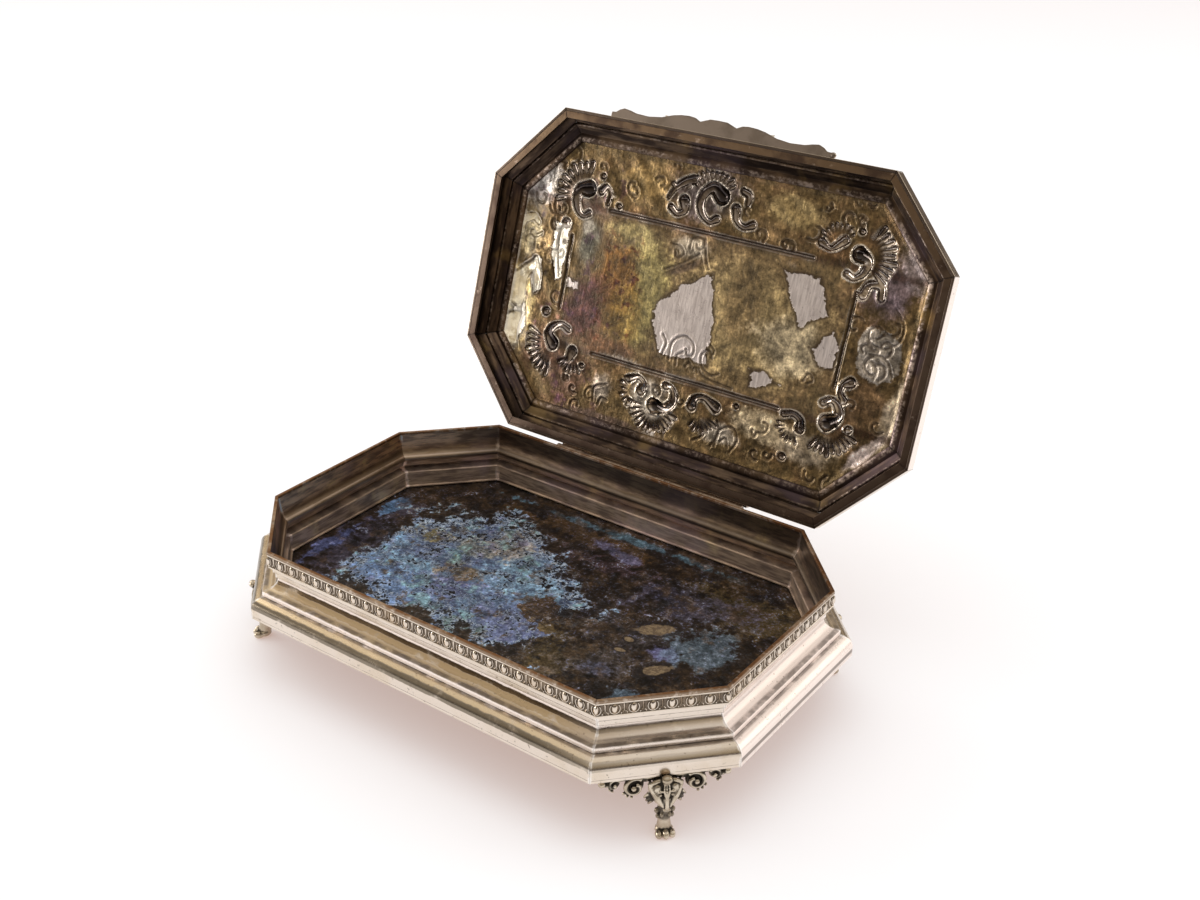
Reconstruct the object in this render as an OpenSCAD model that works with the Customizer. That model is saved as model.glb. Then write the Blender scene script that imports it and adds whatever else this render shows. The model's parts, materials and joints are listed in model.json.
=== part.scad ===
/* [Plan of the box] */
// Length of the rim over its outer faces
rim_l = 200; // [170:1:240]
// Width of the rim over its outer faces
rim_w = 127.6; // [110:0.5:150]
// How far each cut corner runs along the length
corner_x = 28.4; // [22:0.2:34]
// How far each cut corner runs across the width
corner_y = 30; // [24:0.2:36]
// Thickness of the raised sheet
sheet_t = 0.7; // [0.5:0.05:0.9]

/* [Wall moulding] */
// Width of the flat wire round the rim
rim_wire_w = 1.3; // [1.3:0.05:1.6]
// Height of the flat wire round the rim
rim_wire_h = 1; // [0.8:0.1:1.4]
// Height of the egg and dart strip
band_h = 5.2; // [4.6:0.1:6]
// Thickness of the egg and dart strip
band_t = 0.6; // [0.45:0.05:0.8]
// Height of each of the two flat fillets under the strip
fillet_h = 2.3; // [1.8:0.1:2.8]
// How far each fillet steps in
fillet_in = 0.73; // [0.5:0.01:0.85]
// Height of the hollow between the fillets and the bead
cove_h = 4.3; // [3.6:0.1:5.2]
// How far the hollow's foot stands out from the rim
bead_out = 1.9; // [1.4:0.1:2.4]
// Height of the half round bead
bead_h = 2.1; // [1.6:0.1:2.6]
// Height of the swelling under the bead
ovolo_h = 3.7; // [3:0.1:4.6]
// How far the plinth stands out from the rim
plinth_out = 7.2; // [6.4:0.1:8.4]
// Height of the plain plinth
plinth_h = 4.1; // [3.4:0.1:5.2]
// Thickness of the plinth's wall
plinth_t = 1.1; // [0.9:0.05:1.4]

/* [Egg and dart] */
// Distance from one egg to the next
egg_pitch = 6; // [5:0.1:7]
// Radius of the ball that forms an egg
egg_r = 2.2; // [2:0.05:2.5]
// How far an egg stands proud of the strip
egg_out = 0.25; // [0.15:0.05:0.4]
// Width of a dart
dart_w = 0.5; // [0.3:0.05:0.8]
// Height of the plain wires above and below the eggs
band_wire_h = 0.5; // [0.4:0.05:0.7]

/* [Inner lining and floor] */
// How far the lining strips stand in from the rim's outer face
lining_in = 4.4; // [4.2:0.1:6]
// Thickness of the lining strips
lining_t = 0.8; // [0.6:0.05:1.1]
// Depth of the lining's top edge under the rim
lining_top = 16.5; // [16.3:0.1:17.5]
// Thickness of the floor plate
floor_t = 1; // [0.8:0.05:1.3]
// Gap round soldered plates
solder_gap = 0.1; // [0.05:0.01:0.15]

/* [Lid] */
// How far the lid reaches past the rim
lid_over = 1.85; // [1:0.05:2.5]
// Gap between the closed lid and the rim
lid_gap = 0.15; // [0.1:0.05:0.3]
// Height of the lid's upright edge
lid_edge_h = 4.4; // [3.8:0.1:5.4]
// Thickness of the lid's upright edge
lid_edge_t = 1.1; // [0.9:0.05:1.4]
// How far the lid's lower swelling runs in
lid_ovolo_in = 4.6; // [4:0.1:5.6]
// Height of the lid's lower swelling
lid_ovolo_h = 2.5; // [2:0.1:3]
// Height of the step between swelling and hollow
lid_step_h = 0.6; // [0.4:0.1:1]
// How far the lid's hollow runs in
lid_cove_in = 4.4; // [3.8:0.1:5.4]
// Height of the lid's hollow
lid_cove_h = 2.3; // [1.8:0.1:2.6]
// Width of the raised edge round the panel
lid_frame_w = 1.2; // [0.9:0.1:1.6]
// Height of the raised edge above the panel
lid_frame_h = 0.6; // [0.4:0.1:1]
// Width of the ledge that carries the panel
lid_ledge_w = 1.9; // [1.5:0.1:2.5]
// Thickness of the panel
panel_t = 0.8; // [0.6:0.05:1]
// Width of the strip that bears on the rim
seat_w = 2.65; // [2.2:0.05:3.2]
// Thickness of the strip that bears on the rim
seat_t = 0.9; // [0.7:0.05:1.2]

/* [Chasing on the panel] */
// Length of the plain field in the middle of the panel
field_l = 128; // [110:1:135]
// Width of the plain field in the middle of the panel
field_w = 58; // [50:1:64]
// Width of the raised line round the field
line_w = 1.6; // [1.2:0.1:2.2]
// Height of the raised line round the field
line_h = 0.5; // [0.3:0.05:0.7]
// Radius at which a shell's flutes start
shell_r = 7; // [6.5:0.1:7.5]
// Height of the round bowl of each large scroll
shell_h = 2.5; // [1.8:0.1:3.2]
// Distance of the middle shells from the lid's long centre line
mid_boss_y = 41.5; // [41:0.1:42]
// Height of the large scrolls behind their bowls
channel_h = 1.3; // [0.9:0.1:1.6]
// Height of the lesser scrolls
small_channel_h = 1; // [0.6:0.1:1.2]
// Height of the shells' flutes
flute_h = 0.9; // [0.5:0.1:1.3]
// Height of the leaves at the left end
leaf_h = 0.8; // [0.4:0.1:1.1]

/* [Thumbpiece] */
// Half of the thumbpiece's length
thumb_half = 48; // [42:0.5:54]
// How far the thumbpiece stands out from the lid
thumb_out = 5.6; // [4.5:0.1:7]
// Thickness of the thumbpiece
thumb_t = 1.3; // [1:0.1:1.8]

/* [Hinge] */
// Length of the hinge
hinge_l = 87; // [70:1:95]
// Number of knuckles
knuckles = 5; // [3:2:7]
// Distance of the hinge pin's centre from the rim's outer face
axis_out = 3.1; // [3.05:0.05:3.6]
// Depth of the hinge pin's centre under the rim
axis_down = 2.8; // [2.6:0.05:3.2]
// Outer radius of the knuckles
barrel_r = 1.5; // [1.4:0.05:1.55]
// Radius of the hinge pin
pin_r = 0.6; // [0.5:0.05:0.75]
// Running gap between pin and knuckles
pin_gap = 0.05; // [0.03:0.01:0.08]
// Gap between neighbouring knuckles
knuckle_gap = 0.2; // [0.15:0.05:0.4]
// Gap between the lid's knuckles and the plate on the box
plate_gap = 0.4; // [0.35:0.05:0.45]
// Thickness of the hinge plate on the lid
lid_plate_t = 0.8; // [0.6:0.05:1]
// Gap at which the open lid's stop tails meet the plate on the box
stop_gap = 0.05; // [0.03:0.01:0.1]
// Thickness of the stop tails
tail_t = 0.8; // [0.6:0.05:0.95]
// Length of the stop tails from the pin's centre
tail_l = 2.6; // [2.2:0.1:3]
// Angle of the lid when open and resting on its stop
lid_open = 107.9; // [100:0.1:115]

/* [Feet] */
// Height of the feet
foot_h = 23; // [19:0.5:27]
// How far the middle of a sole stands out from the rim's cut corner
sole_out = 6.4; // [5.6:0.1:7.2]
// Radius of the pad under each paw
pad_r = 3; // [2.6:0.1:3.4]
// Radius of the leg's neck
neck_r = 2.1; // [1.7:0.1:2.6]
// Width of the mask at its brow
mask_w = 11; // [9:0.2:12.5]
// Height of the mask
mask_h = 12.5; // [11:0.1:13.5]
// Thickness of the mask
mask_t = 3.6; // [3:0.1:4.2]
// Radius of the knob over the mask
knob_r = 1.7; // [1.4:0.05:2]
// Half of the width over the foot's side scrolls
scroll_half = 21; // [19:0.2:22]
// Thickness of the side scrolls
scroll_t = 2.6; // [2.2:0.1:3.4]
// Outer radius of the large scroll
scroll_r = 3.9; // [3.4:0.1:4.4]
// Width of a scroll's rib
rib_w = 1.5; // [1.2:0.1:1.8]

/* [Hidden] */
wall_h = rim_wire_h + band_h + 2 * fillet_h + cove_h + bead_h + ovolo_h + plinth_h;
rim_z = foot_h + wall_h;
half_l = rim_l / 2;
half_w = rim_w / 2;
mitre_reach = 20;

// Heights of the wall's members under the rim
z_band = -rim_wire_h;
z_fillet = z_band - band_h;
z_cove = z_fillet - 2 * fillet_h;
z_bead = z_cove - cove_h;
z_ovolo = z_bead - bead_h;
z_plinth = z_ovolo - ovolo_h;
z_foot = z_plinth - plinth_h;
cove_top = -band_t - 3 * fillet_in;
wall_in = -band_t - sheet_t;
bead_r = bead_h / 2;
ovolo_start = bead_out + bead_r * 2 / 3;
// The sheet is a little thicker where it is drawn into the hollow and the bead
curve_t = sheet_t + 0.4;
bead_inner = bead_out - sheet_t - 0.3;
fillet_inner = wall_in - fillet_in - 0.1;
bend = 0.7;

// Heights and reaches of the lid's members, counted in from its outer edge
lid_cove_z = lid_edge_h + lid_ovolo_h + lid_step_h;
panel_top = lid_cove_z + lid_cove_h;
panel_under = panel_top - panel_t;
frame_start = lid_ovolo_in + lid_cove_in;
frame_end = frame_start + lid_frame_w;
panel_gap = 0.1;
ledge_end = frame_end + lid_ledge_w;
lid_ledge_t = 0.7;
seat_start = lid_edge_t + 0.05;
lid_curve_t = 0.7;

// The hinge
axis_y = half_w + axis_out;
axis_z = rim_z - axis_down;
plate_out = axis_out - barrel_r - plate_gap;
knuckle_l = hinge_l / knuckles;
lid_edge_y = half_w + lid_over;

// Where the open lid reaches back to, for centring the part on its footprint
function opened_y(y, z) = axis_y + (y - axis_y) * cos(lid_open) + (z + lid_gap + axis_down) * sin(lid_open);
back_y = opened_y(frame_start - lid_edge_y, panel_top + lid_frame_h);
front_y = half_w + plinth_out;
frame_y = (front_y - back_y) / 2;

// Corners of the rim's eight-sided outline, moved out by o, starting at the left end of the front side
corner_len = sqrt(corner_x * corner_x + corner_y * corner_y);
corner_nx = corner_y / corner_len;
corner_ny = corner_x / corner_len;
corner_d = corner_nx * half_l + corner_ny * (half_w - corner_y);
function cut_x(o) = (corner_d + o - corner_ny * (half_w + o)) / corner_nx;
function cut_y(o) = (corner_d + o - corner_nx * (half_l + o)) / corner_ny;
function outline(o) = [
    [-cut_x(o), -half_w - o], [cut_x(o), -half_w - o],
    [half_l + o, -cut_y(o)], [half_l + o, cut_y(o)],
    [cut_x(o), half_w + o], [-cut_x(o), half_w + o],
    [-half_l - o, cut_y(o)], [-half_l - o, -cut_y(o)]
];
function side_mid(i) = (outline(0)[i] + outline(0)[(i + 1) % 8]) / 2;
function side_vec(i) = outline(0)[(i + 1) % 8] - outline(0)[i];
function side_angle(i) = atan2(side_vec(i)[1], side_vec(i)[0]);
function side_len(i) = norm(side_vec(i));

// Points of a quarter ellipse round c, from angle a0 to a1
function arc(c, rx, ry, a0, a1, n) = [for (k = [0:n]) let (a = a0 + (a1 - a0) * k / n)
    [c[0] + rx * cos(a), c[1] + ry * sin(a)]];

// Places of the box and of the open lid
module on_box() {
    translate([0, frame_y, rim_z]) children();
}
module on_lid() {
    translate([0, frame_y + axis_y, axis_z])
        rotate([-lid_open, 0, 0])
            translate([0, -axis_y, axis_down + lid_gap])
                children();
}

// A child drawn along side i: x along the side, y outward from the rim's face
module at_side(i) {
    translate([side_mid(i)[0], side_mid(i)[1], 0])
        rotate([0, 0, side_angle(i) + 180])
            children();
}

// The part of side i between its two mitres
module between_mitres(i, z0, z1) {
    outer = outline(mitre_reach);
    inner = outline(-mitre_reach);
    j = (i + 1) % 8;
    translate([0, 0, z0])
        linear_extrude(z1 - z0)
            polygon([outer[i], outer[j], inner[j], inner[i]]);
}

// A length of moulding along side i; its section has x outward and y up
module mitred(i, section, z0, z1) {
    run = side_len(i) + 2 * mitre_reach;
    intersection() {
        between_mitres(i, z0, z1);
        at_side(i)
            translate([-run / 2, 0, 0])
                rotate([90, 0, 90])
                    linear_extrude(run)
                        polygon(section);
    }
}

// Section of the wall, one raised sheet with a thick plinth
wall_outer = concat(
    [[-band_t, z_band], [-band_t, z_fillet],
     [-band_t - fillet_in, z_fillet], [-band_t - fillet_in, z_fillet - fillet_h],
     [-band_t - 2 * fillet_in, z_fillet - fillet_h], [-band_t - 2 * fillet_in, z_cove]],
    arc([bead_out, z_cove], bead_out - cove_top, cove_h, 180, 270, 8),
    arc([bead_out, z_bead - bead_r], bead_r, bead_r, 80, -90, 8),
    arc([ovolo_start, z_plinth], plinth_out - ovolo_start, ovolo_h, 90, 0, 8),
    [[plinth_out, z_foot]]
);
wall_inner = concat(
    [[plinth_out - plinth_t, z_foot]],
    arc([ovolo_start, z_plinth], plinth_out - plinth_t - ovolo_start, ovolo_h - curve_t, 0, 90, 6),
    [[bead_inner, z_ovolo - bend], [bead_inner, z_bead - curve_t]],
    arc([bead_out, z_cove], bead_out - cove_top + curve_t, cove_h + curve_t, 250, 160, 9),
    [[fillet_inner - fillet_in, z_fillet - fillet_h + bend / 2], [fillet_inner, z_fillet - fillet_h + bend],
     [fillet_inner, z_fillet + bend], [wall_in, z_fillet + 2 * bend], [wall_in, z_band]]
);
module wall(i) {
    color("silver")
        on_box()
            mitred(i, concat(wall_outer, wall_inner), z_foot - 1, 1);
}

// Section of the egg and dart strip without its eggs; its ground lies under the plain wires
ground_out = -band_t * 0.4;
gallery_section = [
    [-band_t, z_band], [0, z_band], [0, z_band - band_wire_h],
    [ground_out, z_band - band_wire_h], [ground_out, z_fillet + band_wire_h],
    [0, z_fillet + band_wire_h], [0, z_fillet], [-band_t, z_fillet]
];
// Eggs and darts over a length, evenly spaced about its middle
module eggs(len) {
    n = max(1, floor(len / egg_pitch));
    step = len / n;
    mid_z = (z_band + z_fillet) / 2;
    free_h = band_h - 2 * band_wire_h;
    translate([-len / 2, 0, 0]) {
        for (k = [0:n - 1])
            translate([(k + 0.5) * step, egg_out - egg_r, mid_z])
                sphere(r = egg_r, $fn = 24);
        for (k = [1:n - 1])
            translate([k * step - dart_w / 2, -band_t, mid_z - free_h / 2])
                cube([dart_w, band_t, free_h]);
    }
}
module gallery(i) {
    color("gainsboro")
        on_box()
            union() {
                mitred(i, gallery_section, z_fillet - 1, 1);
                intersection() {
                    mitred(i, [[-band_t, z_band - band_wire_h / 2], [band_t, z_band - band_wire_h / 2],
                               [band_t, z_fillet + band_wire_h / 2], [-band_t, z_fillet + band_wire_h / 2]],
                           z_fillet - 1, 1);
                    at_side(i)
                        eggs(side_len(i) - egg_pitch / 2);
                }
            }
}
// A short length on the back wall between the hinge and a cut corner
module gallery_by_hinge(side) {
    x0 = hinge_l / 2 + solder_gap;
    len = cut_x(0) - x0 - 2 * solder_gap;
    color("gainsboro")
        on_box()
            union() {
                intersection() {
                    mitred(4, gallery_section, z_fillet - 1, 1);
                    translate([side > 0 ? x0 : -half_l, 0, z_fillet - band_h / 2])
                        cube([half_l - x0, half_w + band_h, 2 * band_h]);
                }
                intersection() {
                    at_side(4)
                        translate([side * (x0 + len / 2), 0, 0])
                            eggs(len - dart_w);
                    translate([-half_l, half_w - band_t, z_fillet + band_wire_h / 2])
                        cube([rim_l, 2 * band_t, band_h - band_wire_h]);
                }
            }
}

// A flat octagonal ring between two offsets
module ring(o_in, o_out, z0, h) {
    translate([0, 0, z0])
        linear_extrude(h)
            difference() {
                polygon(outline(o_out));
                polygon(outline(o_in));
            }
}
module rim_wire() {
    color("rosybrown")
        on_box()
            ring(-rim_wire_w, 0, -rim_wire_h, rim_wire_h);
}

// Lining strips: an upright face with a ledge that closes the hollow of the wall
floor_top = z_foot + floor_t;
lining_section = [
    [-lining_in, floor_top], [-lining_in, -lining_top], [bead_inner - solder_gap, -lining_top],
    [bead_inner - solder_gap, -lining_top - lining_t], [lining_t - lining_in, -lining_top - lining_t],
    [lining_t - lining_in, floor_top]
];
module lining(i) {
    color("saddlebrown")
        on_box()
            mitred(i, lining_section, z_foot - 1, 1);
}
module floor_plate() {
    color("darkslateblue")
        on_box()
            translate([0, 0, z_foot])
                linear_extrude(floor_t)
                    polygon(outline(plinth_out - plinth_t - solder_gap));
}

// A cast foot on side i: scrolls under the plinth, a mask, a leg and a paw
strap_h = 1.3;
eye_r = 1.1;
small_scroll_r = 2.4;
small_eye_r = 0.7;
tip_r = 1.4;
muzzle_r = 2;
ear_r = 2.1;
toe_r = 1.6;
toe_gap = 2.1;
leg_h = foot_h - mask_h + 2.5;
function volute(r0, r1, a0, a1, n) = concat(
    [for (k = [0:n]) (r0 + (r1 - r0) * k / n) * [cos(a0 + (a1 - a0) * k / n), sin(a0 + (a1 - a0) * k / n)]],
    [for (k = [n:-1:0]) (r0 + (r1 - r0) * k / n - rib_w * (1 - 0.35 * k / n))
        * [cos(a0 + (a1 - a0) * k / n), sin(a0 + (a1 - a0) * k / n)]]
);
module curl(r, eye, a0, a1) {
    r1 = eye + rib_w * 0.65;
    polygon(volute(r, r1, a0, a1, 14));
    translate(eye * 0.8 * [cos(a1), sin(a1)])
        circle(r = eye, $fn = 24);
}
module scroll_sheet() {
    big_x = mask_w / 2 + scroll_r + 0.2;
    small_x = big_x + scroll_r + small_scroll_r;
    difference() {
        union() {
            translate([tip_r - scroll_half, foot_h - strap_h])
                square([2 * (scroll_half - tip_r), strap_h]);
            for (s = [0, 1])
                mirror([s, 0]) {
                    translate([big_x, foot_h - scroll_r])
                        curl(scroll_r, eye_r, 130, -250);
                    translate([small_x, foot_h - small_scroll_r + 0.2])
                        curl(small_scroll_r, small_eye_r, 150, -160);
                    translate([scroll_half - tip_r, foot_h - tip_r])
                        circle(r = tip_r, $fn = 24);
                }
        }
        translate([-2 * scroll_half, foot_h])
            square([4 * scroll_half, scroll_r]);
    }
}
module mask() {
    brow = foot_h - 0.4;
    chin = foot_h - mask_h;
    half = mask_w / 2;
    linear_extrude(mask_t)
        polygon([[-half, brow - 2.2], [-half + 1.2, brow], [half - 1.2, brow], [half, brow - 2.2],
                 [half * 0.75, brow - 6], [1.9, chin + 1], [0.8, chin], [-0.8, chin],
                 [-1.9, chin + 1], [-half * 0.75, brow - 6]]);
}
leg_section = [
    [0, 0], [pad_r, 0], [pad_r + 0.3, leg_h * 0.09], [pad_r, leg_h * 0.2], [neck_r, leg_h * 0.34],
    [neck_r + 0.5, leg_h / 2], [neck_r, leg_h * 0.65], [neck_r + 1, leg_h * 0.85], [neck_r, leg_h], [0, leg_h]
];
module foot(i) {
    face_out = sole_out - mask_t / 2 - 0.2;
    color("darkgray")
        translate([0, frame_y, 0])
            at_side(i)
                union() {
                    translate([0, plinth_out - 0.3, 0])
                        rotate([90, 0, 0])
                            linear_extrude(scroll_t)
                                scroll_sheet();
                    translate([0, face_out + mask_t, 0])
                        rotate([90, 0, 0])
                            mask();
                    translate([0, plinth_out + knob_r + 0.15, foot_h + 0.4])
                        sphere(r = knob_r, $fn = 24);
                    translate([0, plinth_out + 0.15, foot_h - 3])
                        cylinder(r = knob_r, h = 3, $fn = 24);
                    translate([0, sole_out + 0.6, foot_h - mask_h + muzzle_r / 2])
                        sphere(r = muzzle_r, $fn = 24);
                    for (s = [-1, 1])
                        translate([s * (mask_w / 2 - ear_r / 3), sole_out, foot_h - mask_h + 5])
                            sphere(r = ear_r, $fn = 24);
                    translate([0, sole_out, 0])
                        rotate_extrude($fn = 32)
                            polygon(leg_section);
                    for (s = [-1, 0, 1])
                        intersection() {
                            translate([s * toe_gap, sole_out + pad_r - 0.6 - abs(s) * 0.5, toe_r - 0.3])
                                sphere(r = toe_r, $fn = 24);
                            translate([-foot_h / 2, 0, 0])
                                cube(foot_h);
                        }
                }
}

// The plate that carries the hinge on the back wall
module hinge_plate_box() {
    color("silver")
        on_box()
            translate([-hinge_l / 2, half_w - band_t, z_fillet])
                cube([hinge_l, band_t + plate_out, band_h]);
}
module knuckle(k) {
    x0 = -hinge_l / 2 + k * knuckle_l + knuckle_gap / 2;
    translate([x0, axis_y, -axis_down])
        rotate([0, 90, 0])
            cylinder(r = barrel_r, h = knuckle_l - knuckle_gap, $fn = 32);
}
module pin_bore() {
    translate([-hinge_l, axis_y, -axis_down])
        rotate([0, 90, 0])
            cylinder(r = pin_r + pin_gap, h = 2 * hinge_l, $fn = 32);
}
module hinge_knuckles_box() {
    web_h = 1.1;
    color("silver")
        on_box()
            difference() {
                union()
                    for (k = [0:2:knuckles - 1]) {
                        knuckle(k);
                        translate([-hinge_l / 2 + k * knuckle_l + knuckle_gap / 2, half_w + plate_out,
                                   -axis_down - barrel_r])
                            cube([knuckle_l - knuckle_gap, axis_out - plate_out, web_h]);
                    }
                pin_bore();
            }
}
module hinge_pin() {
    color("gray")
        on_box()
            translate([-hinge_l / 2 - 0.3, axis_y, -axis_down])
                rotate([0, 90, 0])
                    cylinder(r = pin_r, h = hinge_l + 0.6, $fn = 32);
}

// Section of the lid's edge moulding, x outward and y up
function lid_out(d) = lid_over - d;
lid_outer = concat(
    [[lid_out(0), 0]],
    [for (p = arc([lid_ovolo_in, lid_edge_h], lid_ovolo_in, lid_ovolo_h, 180, 90, 8)) [lid_out(p[0]), p[1]]],
    [for (p = arc([lid_ovolo_in, panel_top], lid_cove_in, lid_cove_h, 270, 360, 8)) [lid_out(p[0]), p[1]]],
    [[lid_out(frame_start), panel_top + lid_frame_h], [lid_out(frame_end), panel_top + lid_frame_h],
     [lid_out(frame_end), panel_under], [lid_out(ledge_end), panel_under],
     [lid_out(ledge_end), panel_under - lid_ledge_t]]
);
lid_cove_back = arc([lid_ovolo_in, panel_top], lid_cove_in + lid_curve_t, lid_cove_h + lid_curve_t + 0.3,
                    320, 290, 4);
lid_inner = concat(
    [for (p = lid_cove_back) [lid_out(p[0]), p[1]]],
    [[lid_out(lid_ovolo_in + 1), lid_edge_h + lid_ovolo_h - 1]],
    [for (p = arc([lid_ovolo_in, lid_edge_h], lid_ovolo_in - lid_edge_t, lid_ovolo_h - 1, 90, 180, 6))
        [lid_out(p[0]), p[1]]],
    [[lid_out(lid_edge_t), 0]]
);
module lid_edge(i) {
    color("silver")
        on_lid()
            mitred(i, concat(lid_outer, lid_inner), -1, panel_top + 4);
}
seat_section = [
    [lid_out(seat_start), 0], [lid_out(seat_start), seat_t],
    [lid_out(seat_start + seat_w), seat_t], [lid_out(seat_start + seat_w), 0]
];
module lid_seat(i) {
    color("rosybrown")
        on_lid()
            mitred(i, seat_section, -1, seat_t + 1);
}

// Ornament of the panel, raised from inside. Points are [x, y, half width] on the lid's plan
skin = 0.55;
flat_share = 0.8;
field_x = field_l / 2;
field_y = field_w / 2;
LARGE_SCROLLS = [
    [[-60.3, -36, 3.5], [-64.6, -35, 2.3], [-65.6, -31, 1.9], [-63.7, -26.8, 1.6], [-60.8, -25, 1.2],
     [-58.2, -26.4, 1.6]],
    [[0.8, -44, 3.5], [-3.6, -46.8, 2.4], [-7, -44, 2], [-7.8, -39.6, 1.8], [-6.2, -36, 1.5],
     [-2.6, -33.8, 1.2], [0.4, -35.3, 1.7]],
    [[61.6, -34.2, 3.1], [65.3, -32.4, 1.9], [64.6, -28.3, 1.6], [61.5, -25.6, 1.2], [58.2, -26.4, 1.5]],
    [[63.6, 28.3, 3.3], [67.4, 25.4, 2], [66.6, 21.4, 1.7], [63.4, 19.6, 1.3], [60.4, 21.4, 1.5]],
    [[-10.5, 41.6, 3.2], [-5.6, 41.6, 2], [-2.4, 38.2, 1.7], [-2.8, 34.2, 1.4], [-4.8, 32.4, 1.1],
     [-6.9, 32.6, 1.6]],
    [[-64.2, 29, 3], [-67, 25.8, 2], [-65.4, 22.3, 1.7], [-61.5, 20.4, 1.3], [-57.6, 21.6, 1.6]]
];
SMALL_SCROLLS = [
    [[-15.2, -39.4, 2.5], [-14.4, -36, 1.7], [-17.4, -34.2, 1.3], [-20.6, -36, 1.5]],
    [[-20.3, -43.6, 1.2], [-16.6, -46.6, 1.7], [-13, -48, 1.9]],
    [[8, -40.6, 2], [9.2, -36.6, 1.5], [12.6, -34.6, 1.2], [16.3, -36, 1.7]],
    [[54.6, -38, 1.9], [51.8, -35.4, 1.4], [49.4, -34, 1], [45.8, -35.6, 1.8]],
    [[66.2, -20.5, 2], [68, -24.5, 1.6], [72.5, -24.6, 1.5], [73.5, -20.6, 1.5]],
    [[69.3, 11.6, 2.2], [66.8, 13.2, 1.2], [66.4, 16.2, 1.2], [68, 18.6, 1.7]],
    [[53.4, 33.4, 2], [53, 30.2, 1.5], [49.6, 28.6, 1.2], [46, 29.6, 1.4]],
    [[-17.8, 37.3, 2.1], [-16.8, 34.2, 1.4], [-20.2, 32.2, 1.1], [-24.4, 34, 1.6]],
    [[6.3, 37.2, 2.1], [7.2, 34, 1.5], [11, 32.6, 1.2], [16.9, 35, 2.3]],
    [[-53.8, 30, 2.4], [-54.8, 33.4, 1.5], [-57, 35.4, 0.9]]
];
LEAVES = [
    [[-81, -1, 2.2], [-85, 5, 3.2], [-85.4, 12, 3.8], [-84, 18, 1.8]],
    [[-84, 21, 1.6], [-85.2, 26, 3.4], [-84.4, 31, 2.4]],
    [[-80.2, -3, 1.8], [-78.6, 2.4, 2.6], [-77.8, 9, 1.6]]
];
// Shells: centre, first and last angle, number of flutes, start and end radius
SHELLS = [
    [[2 - field_x, -4 - field_y], 165, 275, 9, shell_r + 0.8, shell_r + 6.4],
    [[field_x - 1.5, -4.5 - field_y], -62, 38, 9, shell_r - 0.2, shell_r + 6.2],
    [[field_x + 0.5, field_y - 1], 20, 118, 9, shell_r - 0.6, shell_r + 5],
    [[-field_x, field_y], 95, 195, 9, shell_r - 0.2, shell_r + 6.4],
    [[-3.5, 0.5 - mid_boss_y], 215, 318, 10, shell_r + 1, shell_r + 4.8],
    [[-10.5, mid_boss_y + 0.3], 12, 172, 13, shell_r - 1.4, shell_r + 3.8]
];
function last(p) = p[len(p) - 1];
// A curve through the points p, two steps to each span
function on_curve(p, k, t) = let (a = p[max(k - 1, 0)], b = p[k], c = p[k + 1], d = p[min(k + 2, len(p) - 1)])
    (2 * b + (c - a) * t + (2 * a - 5 * b + 4 * c - d) * t * t + (3 * b - a - 3 * c + d) * t * t * t) / 2;
function curve(p) = concat([for (k = [0:len(p) - 2]) for (t = [0, 0.5]) on_curve(p, k, t)], [last(p)]);
// The outline of a swelling band along p, grown by g all round
function heading(p, k) = let (v = p[min(k + 1, len(p) - 1)] - p[max(k - 1, 0)]) [v[0], v[1]] / norm([v[0], v[1]]);
function band_edge(p, g, side) = [for (k = [0:len(p) - 1])
    let (u = heading(p, k), w = side * (p[k][2] * flat_share + g), end = k == 0 ? -g : k == len(p) - 1 ? g : 0)
        [p[k][0] - u[1] * w + u[0] * end, p[k][1] + u[0] * w + u[1] * end]];
function reversed(p) = [for (k = [len(p) - 1:-1:0]) p[k]];
function band(p, g) = concat(band_edge(p, g, 1), reversed(band_edge(p, g, -1)));
// The outline of one flute of the shell s, narrow at its start
function flute(s, k, g) = let (
        step = (s[2] - s[1]) / (s[3] - 1),
        a = s[1] + k * step,
        u = [cos(a), sin(a)],
        v = [-sin(a), cos(a)],
        r0 = s[4] - g,
        r1 = s[5] + g,
        w0 = (s[4] - skin) * sin(step / 2) * 0.86 - skin * 0.8 + g * 0.8,
        w1 = s[5] * sin(step / 2) * 0.86 - skin * 0.8 + g * 0.8)
    [s[0] + r0 * u - w0 * v, s[0] + (r1 - w1 / 2) * u - w1 * v, s[0] + r1 * u,
     s[0] + (r1 - w1 / 2) * u + w1 * v, s[0] + r0 * u + w0 * v];
// All ornament above height z, grown by g: the plate's outside with g = skin, its hollows with g = 0
module ornament(z, g) {
    for (p = LARGE_SCROLLS)
        translate([0, 0, z - 0.4])
            linear_extrude(0.4 + channel_h)
                polygon(band(curve(p), g));
    for (p = SMALL_SCROLLS)
        translate([0, 0, z - 0.4])
            linear_extrude(0.4 + small_channel_h)
                polygon(band(curve(p), g));
    for (p = LEAVES)
        translate([0, 0, z - 0.4])
            linear_extrude(0.4 + leaf_h)
                polygon(band(curve(p), g));
    for (s = SHELLS)
        for (k = [0:s[3] - 1])
            translate([0, 0, z - 0.4])
                linear_extrude(0.4 + flute_h)
                    polygon(flute(s, k, g));
}
// The bowls at the scrolls' heads and the eyes at their ends
module bowl(p, h, g) {
    r = p[2] + skin;
    ball = (r * r + h * h) / (2 * h);
    translate([p[0], p[1], panel_top + h - ball])
        sphere(r = ball - g, $fn = 48);
}
module bowls(g) {
    for (p = LARGE_SCROLLS) {
        bowl(p[0], shell_h, g);
        bowl(last(p), shell_h * 0.56, g);
    }
    for (p = SMALL_SCROLLS)
        bowl(p[0], shell_h * 0.7, g);
}
module field_lines(w, z0, h) {
    for (s = [-1, 1]) {
        translate([-field_x * 0.72, s * field_y - w / 2, z0])
            cube([field_l * 0.7, w, h]);
        translate([s * field_x - w / 2, -field_y * 0.5, z0])
            cube([w, field_w * 0.5, h]);
    }
}
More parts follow.
